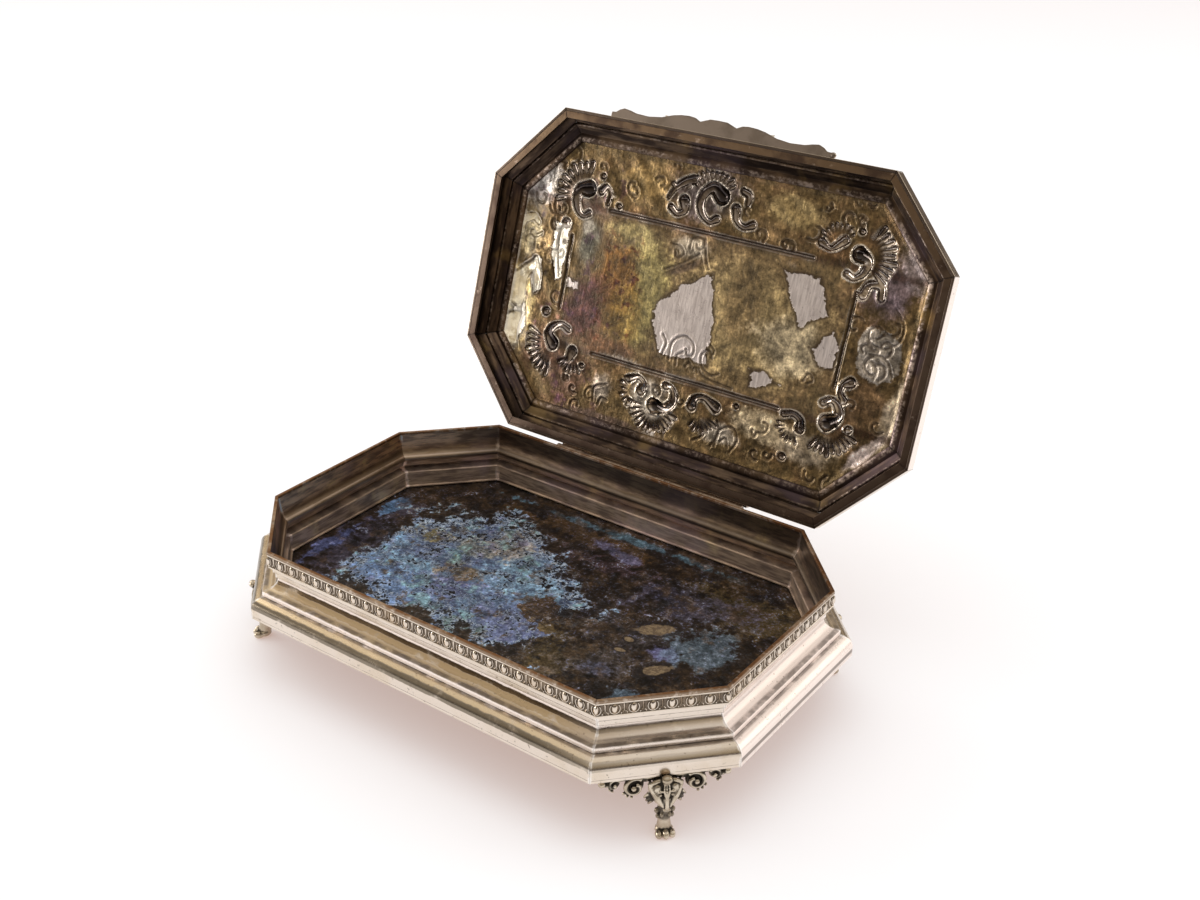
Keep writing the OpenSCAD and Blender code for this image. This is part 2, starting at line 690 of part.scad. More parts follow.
// The panel: a thin plate whose scrolls, shells and field lines stand out above and are hollow beneath
module lid_panel() {
    color("tan")
        on_lid()
            difference() {
                union() {
                    translate([0, 0, panel_under])
                        linear_extrude(panel_t)
                            polygon(outline(lid_out(frame_end + panel_gap)));
                    ornament(panel_top, skin);
                    field_lines(line_w, panel_top - 0.4, 0.4 + line_h);
                    intersection() {
                        bowls(0);
                        translate([-half_l, -half_w, panel_under])
                            cube([rim_l, rim_w, panel_t + shell_h + 1]);
                    }
                }
                ornament(panel_under, 0);
                bowls(panel_t);
                field_lines(line_w / 2, panel_under - 0.4, 0.4 + line_h * 0.6);
            }
}

// The thumbpiece: a thin plate with a lobed front edge
module thumb_outline() {
    y0 = -lid_edge_y;
    low = thumb_out * 0.45;
    half = concat(
        [[0, -thumb_out]],
        [[4, -thumb_out * 0.97], [8, -thumb_out * 0.72], [10, -thumb_out * 0.9], [13, -thumb_out * 0.97],
         [20, -thumb_out * 0.84], [31, -low], [37, -low], [42.5, -low - 1.1], [44.5, -low]],
        [[thumb_half, -low * 0.7], [thumb_half, 0]]
    );
    n = len(half);
    translate([0, y0])
        polygon(concat(half, [for (k = [n - 1:-1:1]) [-half[k][0], half[k][1]]]));
}
module thumbpiece() {
    color("silver")
        on_lid()
            translate([0, 0, 0.1])
                linear_extrude(thumb_t)
                    thumb_outline();
}

// The plate on the lid's back edge and the knuckles that turn with the lid
module hinge_plate_lid() {
    color("silver")
        on_lid()
            translate([-hinge_l / 2, lid_edge_y, 0])
                cube([hinge_l, lid_plate_t, lid_edge_h]);
}
module hinge_knuckles_lid() {
    drop = axis_down + lid_gap;
    color("silver")
        on_lid()
            translate([0, 0, -lid_gap])
                difference() {
                    union()
                        for (k = [1:2:knuckles - 1])
                            translate([-hinge_l / 2 + k * knuckle_l + knuckle_gap / 2, 0, 0]) {
                                translate([0, axis_y, -axis_down])
                                    rotate([0, 90, 0])
                                        cylinder(r = barrel_r, h = knuckle_l - knuckle_gap, $fn = 32);
                                translate([0, lid_edge_y, -axis_down])
                                    cube([knuckle_l - knuckle_gap, lid_plate_t, drop]);
                                // Stop tail, which lies flat against the plate on the box when the lid is open
                                translate([0, axis_y, -axis_down])
                                    rotate([lid_open, 0, 0])
                                        translate([0, plate_out - axis_out + stop_gap, -tail_l])
                                            cube([knuckle_l - knuckle_gap, tail_t, tail_l]);
                            }
                    pin_bore();
                }
}

wall(0);  // wall_front
wall(1);  // wall_front_right
wall(2);  // wall_right
wall(3);  // wall_back_right
wall(4);  // wall_back
wall(5);  // wall_back_left
wall(6);  // wall_left
wall(7);  // wall_front_left
gallery(0);  // gallery_front
gallery(1);  // gallery_front_right
gallery(2);  // gallery_right
gallery(3);  // gallery_back_right
gallery_by_hinge(1);  // gallery_hinge_right
gallery_by_hinge(-1);  // gallery_hinge_left
gallery(5);  // gallery_back_left
gallery(6);  // gallery_left
gallery(7);  // gallery_front_left
rim_wire();
lining(0);  // lining_front
lining(1);  // lining_front_right
lining(2);  // lining_right
lining(3);  // lining_back_right
lining(4);  // lining_back
lining(5);  // lining_back_left
lining(6);  // lining_left
lining(7);  // lining_front_left
floor_plate();
foot(1);  // foot_front_right
foot(3);  // foot_back_right
foot(5);  // foot_back_left
foot(7);  // foot_front_left
hinge_plate_box();
hinge_knuckles_box();
hinge_pin();
lid_edge(0);  // lid_edge_front
lid_edge(1);  // lid_edge_front_right
lid_edge(2);  // lid_edge_right
lid_edge(3);  // lid_edge_back_right
lid_edge(4);  // lid_edge_back
lid_edge(5);  // lid_edge_back_left
lid_edge(6);  // lid_edge_left
lid_edge(7);  // lid_edge_front_left
lid_seat(0);  // lid_seat_front
lid_seat(1);  // lid_seat_front_right
lid_seat(2);  // lid_seat_right
lid_seat(3);  // lid_seat_back_right
lid_seat(4);  // lid_seat_back
lid_seat(5);  // lid_seat_back_left
lid_seat(6);  // lid_seat_left
lid_seat(7);  // lid_seat_front_left
lid_panel();
thumbpiece();
hinge_plate_lid();
hinge_knuckles_lid();
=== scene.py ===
import json
import math
import random

import bpy
import numpy as np
from mathutils import Matrix, Vector

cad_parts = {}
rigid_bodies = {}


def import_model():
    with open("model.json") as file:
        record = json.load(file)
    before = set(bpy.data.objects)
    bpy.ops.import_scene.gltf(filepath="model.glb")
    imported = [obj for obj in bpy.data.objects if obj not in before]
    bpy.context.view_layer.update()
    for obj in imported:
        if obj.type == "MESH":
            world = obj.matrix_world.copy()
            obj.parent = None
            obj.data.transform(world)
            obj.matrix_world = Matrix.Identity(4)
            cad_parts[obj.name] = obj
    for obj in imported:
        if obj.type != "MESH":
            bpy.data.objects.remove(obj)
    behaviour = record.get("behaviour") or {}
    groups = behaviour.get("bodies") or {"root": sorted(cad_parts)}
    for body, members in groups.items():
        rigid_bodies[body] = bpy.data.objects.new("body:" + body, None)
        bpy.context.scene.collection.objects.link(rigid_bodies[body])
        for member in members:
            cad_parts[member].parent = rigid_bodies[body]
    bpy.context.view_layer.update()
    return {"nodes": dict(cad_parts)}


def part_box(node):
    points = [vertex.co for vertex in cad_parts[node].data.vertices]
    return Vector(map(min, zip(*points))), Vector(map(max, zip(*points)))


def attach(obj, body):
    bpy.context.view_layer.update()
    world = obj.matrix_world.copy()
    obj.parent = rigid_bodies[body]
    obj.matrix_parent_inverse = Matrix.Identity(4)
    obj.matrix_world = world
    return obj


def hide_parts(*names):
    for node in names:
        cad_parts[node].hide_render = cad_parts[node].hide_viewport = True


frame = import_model()

# The silver box as a whole.
# An eight-sided table box of silver, 200 mm long over its rim, which stands on four cast feet. Its
# lid is open and leans back on its hinge. The rim's flat wire gives the plan that all else follows.
MM = 0.001
rim_low, rim_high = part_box("rim_wire")
half_l = rim_high.x / MM
half_w = (rim_high.y - rim_low.y) / 2 / MM
mid_y = (rim_high.y + rim_low.y) / 2
rim_z = rim_high.z
corner_x, corner_y = 28.4, 30
SIDES = ("front", "front_right", "right", "back_right", "back", "back_left", "left", "front_left")
CUT_SIDES = (1, 3, 5, 7)
corner_normal = Vector((corner_y, corner_x)).normalized()
corner_distance = corner_normal.dot((half_l, half_w - corner_y))


def outline(out):
    """The eight corners of the plan, in millimetres, moved outward from the rim's face."""
    reach_l = half_l + out
    reach_w = half_w + out
    cut_x = (corner_distance + out - corner_normal.y * reach_w) / corner_normal.x
    cut_y = (corner_distance + out - corner_normal.x * reach_l) / corner_normal.y
    return [Vector(p) for p in (
        (-cut_x, -reach_w), (cut_x, -reach_w), (reach_l, -cut_y), (reach_l, cut_y),
        (cut_x, reach_w), (-cut_x, reach_w), (-reach_l, cut_y), (-reach_l, -cut_y))]


def side_ends(side, out=0):
    """The two corners of a side of the plan."""
    corners = outline(out)
    return corners[side], corners[(side + 1) % len(corners)]


def side_length(side):
    here, there = side_ends(side)
    return (there - here).length


def outward_from(side, out=0):
    """The direction in which a side of the plan faces."""
    here, there = side_ends(side, out)
    return Vector((there.y - here.y, here.x - there.x)).normalized()


def side_place(side):
    """Takes what lies along X and faces Y to the middle of a side, where it faces outward."""
    here, there = side_ends(side)
    turn = math.atan2(there.y - here.y, there.x - here.x) + math.pi
    return Matrix.Translation((*((here + there) / 2 * MM), 0)) @ Matrix.Rotation(turn, 4, "Z")


def mitre_at(corner):
    """The direction of the mitre between the two sides that meet at a corner of the plan."""
    return (outline(0)[corner] - outline(-20)[corner]).normalized()


box_place = Matrix.Translation((0, mid_y, rim_z))

# The viewpoint.
# A camera half a metre off, above the table and to the right of the box's front.
camera_place = (0.27841, -0.37137, 0.31302)
camera_turn = (62.839, -0.445, 36.165)
bpy.ops.object.camera_add(location=camera_place, rotation=[math.radians(a) for a in camera_turn])
camera = bpy.context.object
camera.data.sensor_width = 36
camera.data.lens = 43.53
bpy.context.scene.camera = camera

# The table and the light.
# A plain pale table in line with the view, under a large soft light, with three smaller lights round
# it. The room beyond is dim and brown low down and pale above, which the polished silver mirrors.
table_turn = math.radians(36)
table_size = (1.6, 2.3)
table_centre = (-0.5, 0.688, 0)
bpy.ops.mesh.primitive_plane_add(size=1, location=table_centre, rotation=(0, 0, table_turn))
table = bpy.context.object
table.name = "table"
table.scale = (*table_size, 1)
paper = bpy.data.materials.new("pale_paper")
paper.use_nodes = True
for name, value in (("Base Color", (0.46, 0.56, 0.6, 1)), ("Roughness", 0.9),
                    ("Emission Color", (1, 0.68, 0.56, 1)), ("Emission Strength", 0.43)):
    paper.node_tree.nodes["Principled BSDF"].inputs[name].default_value = value
table.data.materials.append(paper)


def soft_light(name, place, target, size, power, colour, mirrored=True):
    bpy.ops.object.light_add(type="AREA", location=place)
    light = bpy.context.object
    light.name = name
    light.data.shape = "RECTANGLE"
    light.data.size, light.data.size_y = size
    light.data.energy = power
    light.data.color = colour
    light.rotation_euler = (Vector(target) - Vector(place)).to_track_quat("-Z", "Y").to_euler()
    light.visible_glossy = mirrored


soft_light("overhead", (-0.1, 0.25, 1.5), (0, 0, 0), (1.7, 1.5), 9, (1, 0.98, 0.96), False)
soft_light("left", (-1.3, -0.1, 0.75), (0, 0, 0.05), (0.7, 0.9), 4, (1, 0.97, 0.93))
soft_light("right", (0.95, 1.1, 0.6), (0, 0, 0.05), (1, 0.9), 4, (1, 0.97, 0.95))
soft_light("front_left", (-1.27, -0.83, 0.24), (-0.085, 0.08, 0.1), (0.6, 0.5), 7, (1, 0.97, 0.93))

room = bpy.data.worlds.new("studio_room")
bpy.context.scene.world = room
room.use_nodes = True
room.cycles.sampling_method = "NONE"
room_nodes = room.node_tree.nodes
room_links = room.node_tree.links
direction = room_nodes.new("ShaderNodeTexCoord")
spread = room_nodes.new("ShaderNodeSeparateXYZ")
room_links.new(direction.outputs["Generated"], spread.inputs["Vector"])
height_ramp = room_nodes.new("ShaderNodeValToRGB")
room_links.new(spread.outputs["Z"], height_ramp.inputs["Fac"])
room_tones = ((0, (0.1, 0.08, 0.07)), (0.16, (0.13, 0.105, 0.08)), (0.34, (0.4, 0.33, 0.23)),
              (0.7, (0.6, 0.54, 0.45)), (1, (0.9, 0.88, 0.86)))
while len(height_ramp.color_ramp.elements) < len(room_tones):
    height_ramp.color_ramp.elements.new(0.5)
for element, (place, tone) in zip(height_ramp.color_ramp.elements, room_tones):
    element.position = place
    element.color = (*tone, 1)
room_links.new(height_ramp.outputs["Color"], room_nodes["Background"].inputs["Color"])
path_kind = room_nodes.new("ShaderNodeLightPath")
shown = room_nodes["Background"].outputs[0]
for kind, tone in (("Is Diffuse Ray", (1.0, 0.98, 0.99)), ("Is Camera Ray", (0.98, 0.97, 0.975))):
    even = room_nodes.new("ShaderNodeBackground")
    even.inputs["Color"].default_value = (*tone, 1)
    chosen = room_nodes.new("ShaderNodeMixShader")
    room_links.new(path_kind.outputs[kind], chosen.inputs[0])
    room_links.new(shown, chosen.inputs[1])
    room_links.new(even.outputs[0], chosen.inputs[2])
    shown = chosen.outputs[0]
room_links.new(shown, room_nodes["World Output"].inputs["Surface"])
bpy.context.scene.view_settings.view_transform = "Standard"


class Layer:
    """A number or colour that varies over a finish; sums on it add the nodes that work them out."""
    tree = None

    def __init__(self, socket):
        self.socket = socket

    @classmethod
    def node(cls, kind, settings=(), values=(), out=0):
        made = cls.tree.nodes.new(kind)
        for name, value in dict(settings).items():
            setattr(made, name, value)
        for name, value in dict(values).items():
            if isinstance(value, Layer):
                cls.tree.links.new(value.socket, made.inputs[name])
            else:
                made.inputs[name].default_value = value
        return cls(made.outputs[out])

    def sum_of(self, operation, *others):
        values = {place: other for place, other in enumerate((self, *others))}
        return Layer.node("ShaderNodeMath", {"operation": operation}, values)

    def __add__(self, other):
        return self.sum_of("ADD", other)

    def __mul__(self, other):
        return self.sum_of("MULTIPLY", other)

    def __sub__(self, other):
        return self.sum_of("SUBTRACT", other)

    def __rsub__(self, other):
        return Layer.node("ShaderNodeMath", {"operation": "SUBTRACT"}, {0: other, 1: self})

    def __neg__(self):
        return self * -1

    def __abs__(self):
        return self.sum_of("ABSOLUTE")

    __radd__ = __add__
    __rmul__ = __mul__

    def least(self, other):
        return self.sum_of("MINIMUM", other)

    def most(self, other):
        return self.sum_of("MAXIMUM", other)

    def step(self, low, high):
        """0 below low, 1 above high and smooth between them; turned round if low is above high."""
        return Layer.node("ShaderNodeMapRange", {"interpolation_type": "SMOOTHSTEP"},
                          {"Value": self, 1: low, 2: high, 3: 0, 4: 1})


def noise(here, size, detail=4, rough=0.55):
    """Even cloudiness from 0 to 1, whose features are about size millimetres wide."""
    return Layer.node("ShaderNodeTexNoise", {},
                      {"Vector": here, "Scale": 1 / (size * MM), "Detail": detail, "Roughness": rough})


def stored(name):
    """A measure that is stored on the points of a piece."""
    return Layer.node("ShaderNodeAttribute", {"attribute_name": name}, out="Fac")


def blend(below, above, share):
    """One colour laid over another; each is three numbers or a Layer."""
    below, above = [c if isinstance(c, Layer) else (*c, 1) for c in (below, above)]
    return Layer.node("ShaderNodeMix", {"data_type": "RGBA"}, {0: share, 6: below, 7: above}, 2)


def split(vector):
    parts = Layer.node("ShaderNodeSeparateXYZ", {}, {0: vector}).socket.node
    return [Layer(socket) for socket in parts.outputs]


def start_finish(name):
    """Begins a finish and returns its place on the object, in metres."""
    made = bpy.data.materials.new(name)
    made.use_nodes = True
    Layer.tree = made.node_tree
    return made, Layer.node("ShaderNodeTexCoord", out="Object")


def end_finish(made, colour, roughness, metal, bump, bump_depth):
    """Feeds a finish's layers to its shader; metal may be a number, and the depth is in millimetres."""
    relief = Layer.node("ShaderNodeBump", {},
                        {"Strength": 1, "Distance": bump_depth * MM, "Height": bump}, "Normal")
    shader = made.node_tree.nodes["Principled BSDF"]
    for name, value in (("Base Color", colour), ("Roughness", roughness), ("Metallic", metal),
                        ("Normal", relief)):
        if isinstance(value, Layer):
            made.node_tree.links.new(value.socket, shader.inputs[name])
        else:
            shader.inputs[name].default_value = value
    return made


# Outer mouldings of the wall.
# Eight lengths of silver sheet drawn to one section, with fillets, a hollow, a bead, an ovolo and a
# plain plinth. They are cut at mitres and soldered; the solder shows bright, and tarnish sits in the
# corners of the section. Reflected light and shade are painted on in bands along the section, and the
# right side is painted paler, a painted reflection.
strip_length = 240


def pick(piece):
    """Selects one object alone, for the operators that follow."""
    bpy.ops.object.select_all(action="DESELECT")
    piece.select_set(True)
    bpy.context.view_layer.objects.active = piece


def copy_of(piece, name):
    pick(piece)
    bpy.ops.object.duplicate()
    made = bpy.context.object
    made.name = name
    return made


def draw_out(way):
    """Draws the active flat shape out to a closed solid; the way is in millimetres."""
    bpy.ops.object.mode_set(mode="EDIT")
    bpy.ops.mesh.select_all(action="SELECT")
    bpy.ops.mesh.extrude_region_move(TRANSFORM_OT_translate={"value": [c * MM for c in way]})
    bpy.ops.mesh.select_all(action="SELECT")
    bpy.ops.mesh.normals_make_consistent(inside=False)
    bpy.ops.object.mode_set(mode="OBJECT")


def cut_away(piece, point, normal, keep_all=False):
    """Cuts off what lies past a plane and closes the cut; the point is in millimetres."""
    pick(piece)
    bpy.ops.object.mode_set(mode="EDIT")
    bpy.ops.mesh.select_all(action="SELECT")
    bpy.ops.mesh.bisect(plane_co=Vector(point) * MM, plane_no=normal, use_fill=not keep_all,
                        clear_outer=not keep_all)
    bpy.ops.object.mode_set(mode="OBJECT")


def arc(centre, reach, start, stop, steps):
    """Points of an ellipse's stretch, in millimetres."""
    angles = [math.radians(start + (stop - start) * k / steps) for k in range(steps + 1)]
    return [(centre[0] + reach[0] * math.cos(a), centre[1] + reach[1] * math.sin(a)) for a in angles]


def draw_strip(name, section):
    """A straight length of drawn strip along X, cut across its middle; the section is (out, up)."""
    bpy.ops.mesh.primitive_circle_add(vertices=len(section), fill_type="NGON")
    strip = bpy.context.object
    strip.name = name
    for corner, (out, up) in zip(strip.data.vertices, section):
        corner.co = (-strip_length / 2 * MM, out * MM, up * MM)
    draw_out((strip_length, 0, 0))
    cut_away(strip, (0, 0, 0), (1, 0, 0), keep_all=True)
    return strip


def cut_to_side(strip, side, name):
    """A copy of a strip laid along one side of the plan and cut at that side's two mitres."""
    piece = copy_of(strip, name)
    piece.matrix_world = side_place(side)
    bpy.ops.object.transform_apply(location=True, rotation=True, scale=True)
    here, there = side_ends(side)
    for end, place, way in ((side, here, here - there), (side + 1, there, there - here)):
        mitre = mitre_at(end % len(SIDES))
        normal = Vector((-mitre.y, mitre.x))
        if normal.dot(way) < 0:
            normal = -normal
        cut_away(piece, (*place, 0), (*normal, 0))
    mark_mitres(piece, side)
    return piece


def drawn_lengths(prefix, section, worn):
    """Makes the eight mitred lengths of one strip, with worn edges, each with its side's number."""
    strip = draw_strip(prefix + "strip", section)
    for side, name in enumerate(SIDES):
        piece = cut_to_side(strip, side, prefix + name)
        soften(piece, worn)
        yield side, piece
    bpy.data.objects.remove(strip)


def store_on(piece, name, values):
    store = piece.data.attributes.new(name, "FLOAT", "POINT")
    store.data.foreach_set("value", values)


def mark_mitres(piece, side):
    """Stores each point's millimetres from the nearer mitre, for the solder, and from the rim's face."""
    points = [point.co.xy / MM for point in piece.data.vertices]
    ends = side_ends(side)
    outward = outward_from(side)
    store_on(piece, "reach", [(point - ends[0]).dot(outward) for point in points])
    mitres = mitre_at(side), mitre_at((side + 1) % len(SIDES))
    store_on(piece, "mitre", [min(abs((point - end).cross(mitre)) for end, mitre in zip(ends, mitres))
                              for point in points])


def soften(piece, width):
    """Rounds a piece's sharp edges a little, as polishing does."""
    pick(piece)
    bevel = piece.modifiers.new("worn_edges", "BEVEL")
    bevel.width = width * MM
    bevel.segments = 2
    bevel.limit_method = "ANGLE"
    bevel.angle_limit = math.radians(30)
    bpy.ops.object.modifier_apply(modifier=bevel.name)
    bpy.ops.object.shade_smooth_by_angle(angle=math.radians(40))
    flats = piece.modifiers.new("flats", "WEIGHTED_NORMAL")
    flats.keep_sharp = True
    bpy.ops.object.modifier_apply(modifier=flats.name)


def set_in_place(piece, place, body, finish, node):
    """Moves a finished piece to its place, gives it its finish and its body, and hides its CAD node."""
    piece.data.transform(place)
    piece.data.materials.clear()
    piece.data.materials.append(finish)
    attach(piece, body)
    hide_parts(node)


wall_section = (
    [(-0.6, -1), (-0.6, -6.2), (-1.33, -6.2), (-1.33, -8.5), (-2.06, -8.5), (-2.06, -10.8)]
    + arc((1.9, -10.8), (4.69, 4.3), 180, 270, 14)
    + arc((2.3, -15.5), (0.65, 0.35), 90, 0, 4) + arc((2.3, -16.85), (0.65, 0.35), 0, -90, 4)
    + arc((2.6, -20.9), (4.6, 3.7), 90, 0, 12)
    + [(7.2, -25), (6.1, -25)]
    + arc((2.6, -20.9), (3.5, 2.6), 0, 90, 5)
    + [(0.9, -17.9), (0.3, -16.7)]
    + arc((-0.6, -13.7), (1.9, 1.7), 270, 180, 5)
    + arc((-2.9, -10.9), (1.05, 1.3), 230, 100, 10)
    + [(-2.3, -8.4), (-1.75, -6.6), (-1.5, -4.6), (-1.3, -2.4), (-1.3, -1)])


def in_plan(here, place):
    """Millimetres in the plan of a piece that was moved to its place."""
    return Layer.node("ShaderNodeMapping", {"vector_type": "TEXTURE"},
                      {"Vector": here, "Location": place.translation, "Rotation": place.to_euler(),
                       "Scale": (MM, MM, MM)})


def polished_silver(name, place, lines, bands=()):
    """Bright silver with dark lines, each a height and a half width, where polish never reaches.

    Its bands are stretches of the section painted with reflected light and shade, each with its own
    colour and less metal: low, high, colour and metal. The right side is painted paler and less
    metallic than the others, a painted reflection, with one dark line along its plinth.
    """
    made, here = start_finish(name)
    across, back, height = split(in_plan(here, place))
    corner = outline(0)[3]
    mitre_way = mitre_at(3)
    right_face = (abs(back) - corner.y) * mitre_way.x - (across - corner.x) * mitre_way.y
    right_face = right_face.step(0.1, -0.1) * across.step(0, 1)
    stain = noise(here, 22, 5, 0.6).step(0.42, 0.75)
    specks = noise(here, 1.3, 2).step(0.66, 0.74)
    corners = 0
    for depth, reach in lines:
        corners = abs(height - depth).step(reach, reach * 0.3) * 0.8 + corners
    corners = corners.least(1) * noise(here, 5, 3).step(0.2, 0.6)
    mitre = stored("mitre")
    seam = mitre.step(0.22, 0.1)
    beads = (noise(here, 4.5, 2).step(0.42, 0.6) + 0.2).least(1)
    solder = (mitre + noise(here, 2, 3) * 1.2).step(1.35, 0.85) * beads
    colour = blend((0.78, 0.69, 0.6), (0.62, 0.5, 0.34), stain * 0.6)
    metal = 1
    uneven = noise(here, 6, 5, 0.65)
    # The painted bands fade towards the right end.
    kept = across.step(92, 50) * 0.8 + 0.2
    for low, high, tone, share in bands:
        band = (height + uneven).step(low + 0.3, low + 0.6) * (height + uneven).step(high + 0.6, high + 0.3)
        band = band * kept * uneven.step(0.2, 0.45)
        colour = blend(colour, tone, band)
        metal = metal - band * (1 - share)
    # Painted reflection: the right side is painted pale cream and made less metallic.
    colour = blend(colour, (0.95, 0.82, 0.74), right_face * 0.85)
    plinth_line = abs(height + 22.7).step(1, 0.6)
    colour = blend(colour, (0.27, 0.22, 0.185), right_face * plinth_line)
    metal = metal - right_face * 0.6
    colour = blend(colour, (0.16, 0.11, 0.07), specks * 0.6)
    colour = blend(colour, (0.09, 0.065, 0.05), corners * 0.9)
    colour = blend(colour, (0.95, 0.91, 0.86), solder * 0.7)
    colour = blend(colour, (0.14, 0.1, 0.08), seam * 0.25)
    rough = 0.15 + stain * 0.1 + corners * 0.3 + noise(here, 3, 4) * 0.1
    waves = noise(here, 26, 2) + noise(here, 2.2, 4) * 0.03
    return end_finish(made, colour, rough, (metal - solder * 0.3).most(0.1), waves, 0.3)


# On the wall the bands are painted reflections: pale, dark and golden down the hollow, bright over the bead,
# then golden and dark down the ovolo.
silver = polished_silver("polished_silver", box_place, (
    (-6.2, 0.35), (-8.5, 0.3), (-10.8, 0.22), (-15.15, 0.22), (-17.2, 0.28), (-24, 0.12)), (
        (-12.1, -11, (0.9, 0.77, 0.69), 0.4), (-13.4, -12.1, (0.13, 0.085, 0.045), 0.8),
        (-14.7, -13.4, (0.42, 0.3, 0.16), 0.35), (-15.1, -14.7, (0.6, 0.46, 0.28), 0.3),
        (-17.1, -15.2, (0.98, 0.87, 0.8), 0.4),
        (-18.3, -17.2, (0.7, 0.55, 0.36), 0.8), (-20.85, -18.1, (0.25, 0.21, 0.16), 0.9)))
for side, piece in drawn_lengths("moulding_", wall_section, 0.16):
    set_in_place(piece, box_place, "box_body", silver, "wall_" + SIDES[side])

# Egg and dart strip.
# Flat silver wire stamped with eggs in their husks and darts between them, soldered round the top of
# the wall in nine lengths. Its grounds are black with old tarnish and its eggs are rubbed bright.
gallery_section = [(-0.6, -1), (0.02, -1), (0.02, -1.42), (-0.32, -1.6), (-0.32, -5.5), (0.02, -5.72),
                   (0.02, -6.2), (-0.6, -6.2)]
egg_middle = -3.5
egg_pitch = 6
hinge_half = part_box("hinge_plate_box")[1].x / MM
hinge_gap = 0.1


def join(name, *parts):
    bpy.ops.object.select_all(action="DESELECT")
    for part in parts:
        part.select_set(True)
    bpy.context.view_layer.objects.active = parts[0]
    bpy.ops.object.join()
    joined = bpy.context.object
    joined.name = name
    return joined


def ball(place, size, rings, segments):
    """A rounded lump, with its place and half sizes in millimetres."""
    bpy.ops.mesh.primitive_uv_sphere_add(segments=segments, ring_count=rings, radius=1,
                                         location=[c * MM for c in place])
    lump = bpy.context.object
    lump.scale = [c * MM for c in size]
    bpy.ops.object.transform_apply(location=True, rotation=True, scale=True)
    return lump


egg = ball((0, -0.3, egg_middle - 0.05), (1.02, 0.7, 1.92), 8, 12)
bpy.ops.mesh.primitive_torus_add(major_segments=16, minor_segments=6, major_radius=1, minor_radius=0.11,
                                 location=(0, -0.22 * MM, (egg_middle + 0.1) * MM),
                                 rotation=(math.pi / 2, 0, 0))
husk = bpy.context.object
husk.scale = (1.66 * MM, 1.9 * MM, 2.2 * MM)
bpy.ops.object.transform_apply(location=True, rotation=True, scale=True)
cut_away(husk, (0, 0, egg_middle + 1.3), (0, 0, 1))
bpy.ops.mesh.primitive_cone_add(vertices=4, radius1=0.2 * MM, radius2=0.52 * MM, depth=3.8 * MM,
                                location=(egg_pitch / 2 * MM, -0.3 * MM, egg_middle * MM))
dart = bpy.context.object
bpy.ops.object.transform_apply(location=True, rotation=True, scale=True)
leaf_middle = egg_middle - 1.35
leaves = []
for sign in (-1, 1):
    leaf = ball((egg_pitch / 2 + sign * 0.72, -0.28, leaf_middle), (0.3, 0.34, 0.85), 5, 6)
    for corner in leaf.data.vertices:
        corner.co.x -= (corner.co.z - leaf_middle * MM) * 0.5 * sign
    leaves.append(leaf)
repeat = join("stamped_repeat", egg, husk, dart, *leaves)
cut_away(repeat, (0, -0.45, 0), (0, -1, 0))

stamped, here = start_finish("stamped_silver")
in_ground = stored("reach")
ground = in_ground.step(0.02, -0.3)
grime = (ground + noise(here, 2, 3) * 0.4 - 0.15).step(0.1, 0.6)
colour = blend((0.76, 0.67, 0.57), (0.17, 0.13, 0.095), grime * 0.9)
colour = blend(colour, (0.5, 0.38, 0.26), noise(here, 14, 4).step(0.45, 0.7) * 0.5)
stamped = end_finish(stamped, colour, 0.2 + grime * 0.35, 1, noise(here, 0.9, 3), 0.03)

gallery_strip = draw_strip("gallery_strip", gallery_section)
for side, name in enumerate(SIDES):
    count = round(side_length(side) / egg_pitch)
    step = side_length(side) / count
    row = copy_of(repeat, "stamped_row")
    evened = Matrix.Diagonal((step / egg_pitch, 1, 1, 1))
    row.data.transform(Matrix.Translation((-count / 2 * step * MM, 0, 0)) @ evened)
    rows = row.modifiers.new("repeats", "ARRAY")
    rows.use_relative_offset = False
    rows.use_constant_offset = True
    rows.constant_offset_displace = (step * MM, 0, 0)
    rows.count = count + 1
    bpy.ops.object.modifier_apply(modifier=rows.name)
    whole = join("whole_strip", copy_of(gallery_strip, "plain_length"), row)
    piece = cut_to_side(whole, side, "egg_and_dart_" + name)
    bpy.data.objects.remove(whole)
    pieces = [(piece, name)]
    if name == "back":
        left_part = copy_of(piece, "egg_and_dart_left")
        cut_away(piece, (hinge_half + hinge_gap, 0, 0), (-1, 0, 0))
        cut_away(left_part, (-hinge_half - hinge_gap, 0, 0), (1, 0, 0))
        pieces = [(piece, "hinge_right"), (left_part, "hinge_left")]
    for piece, length in pieces:
        piece.name = "egg_and_dart_" + length
        pick(piece)
        bpy.ops.object.shade_smooth_by_angle(angle=math.radians(40))
        set_in_place(piece, box_place, "box_body", stamped, "gallery_" + length)
bpy.data.objects.remove(gallery_strip)
bpy.data.objects.remove(repeat)

# Rim wire.
# Flat wire laid round the top edge of the wall, mitred and soldered. Handling keeps its outer edge
# bright, and its top has tarnished to a coppery brown.
rim_section = [(-1.3, -1), (-1.3, -0.05), (-1.15, 0), (-0.15, 0), (0, -0.15), (0, -1)]
rim_strip = draw_strip("rim_strip", rim_section)
rim_lengths = [cut_to_side(rim_strip, side, "rim_" + name) for side, name in enumerate(SIDES)]
rim = join("rim_flat_wire", *rim_lengths)
bpy.data.objects.remove(rim_strip)
soften(rim, 0.06)

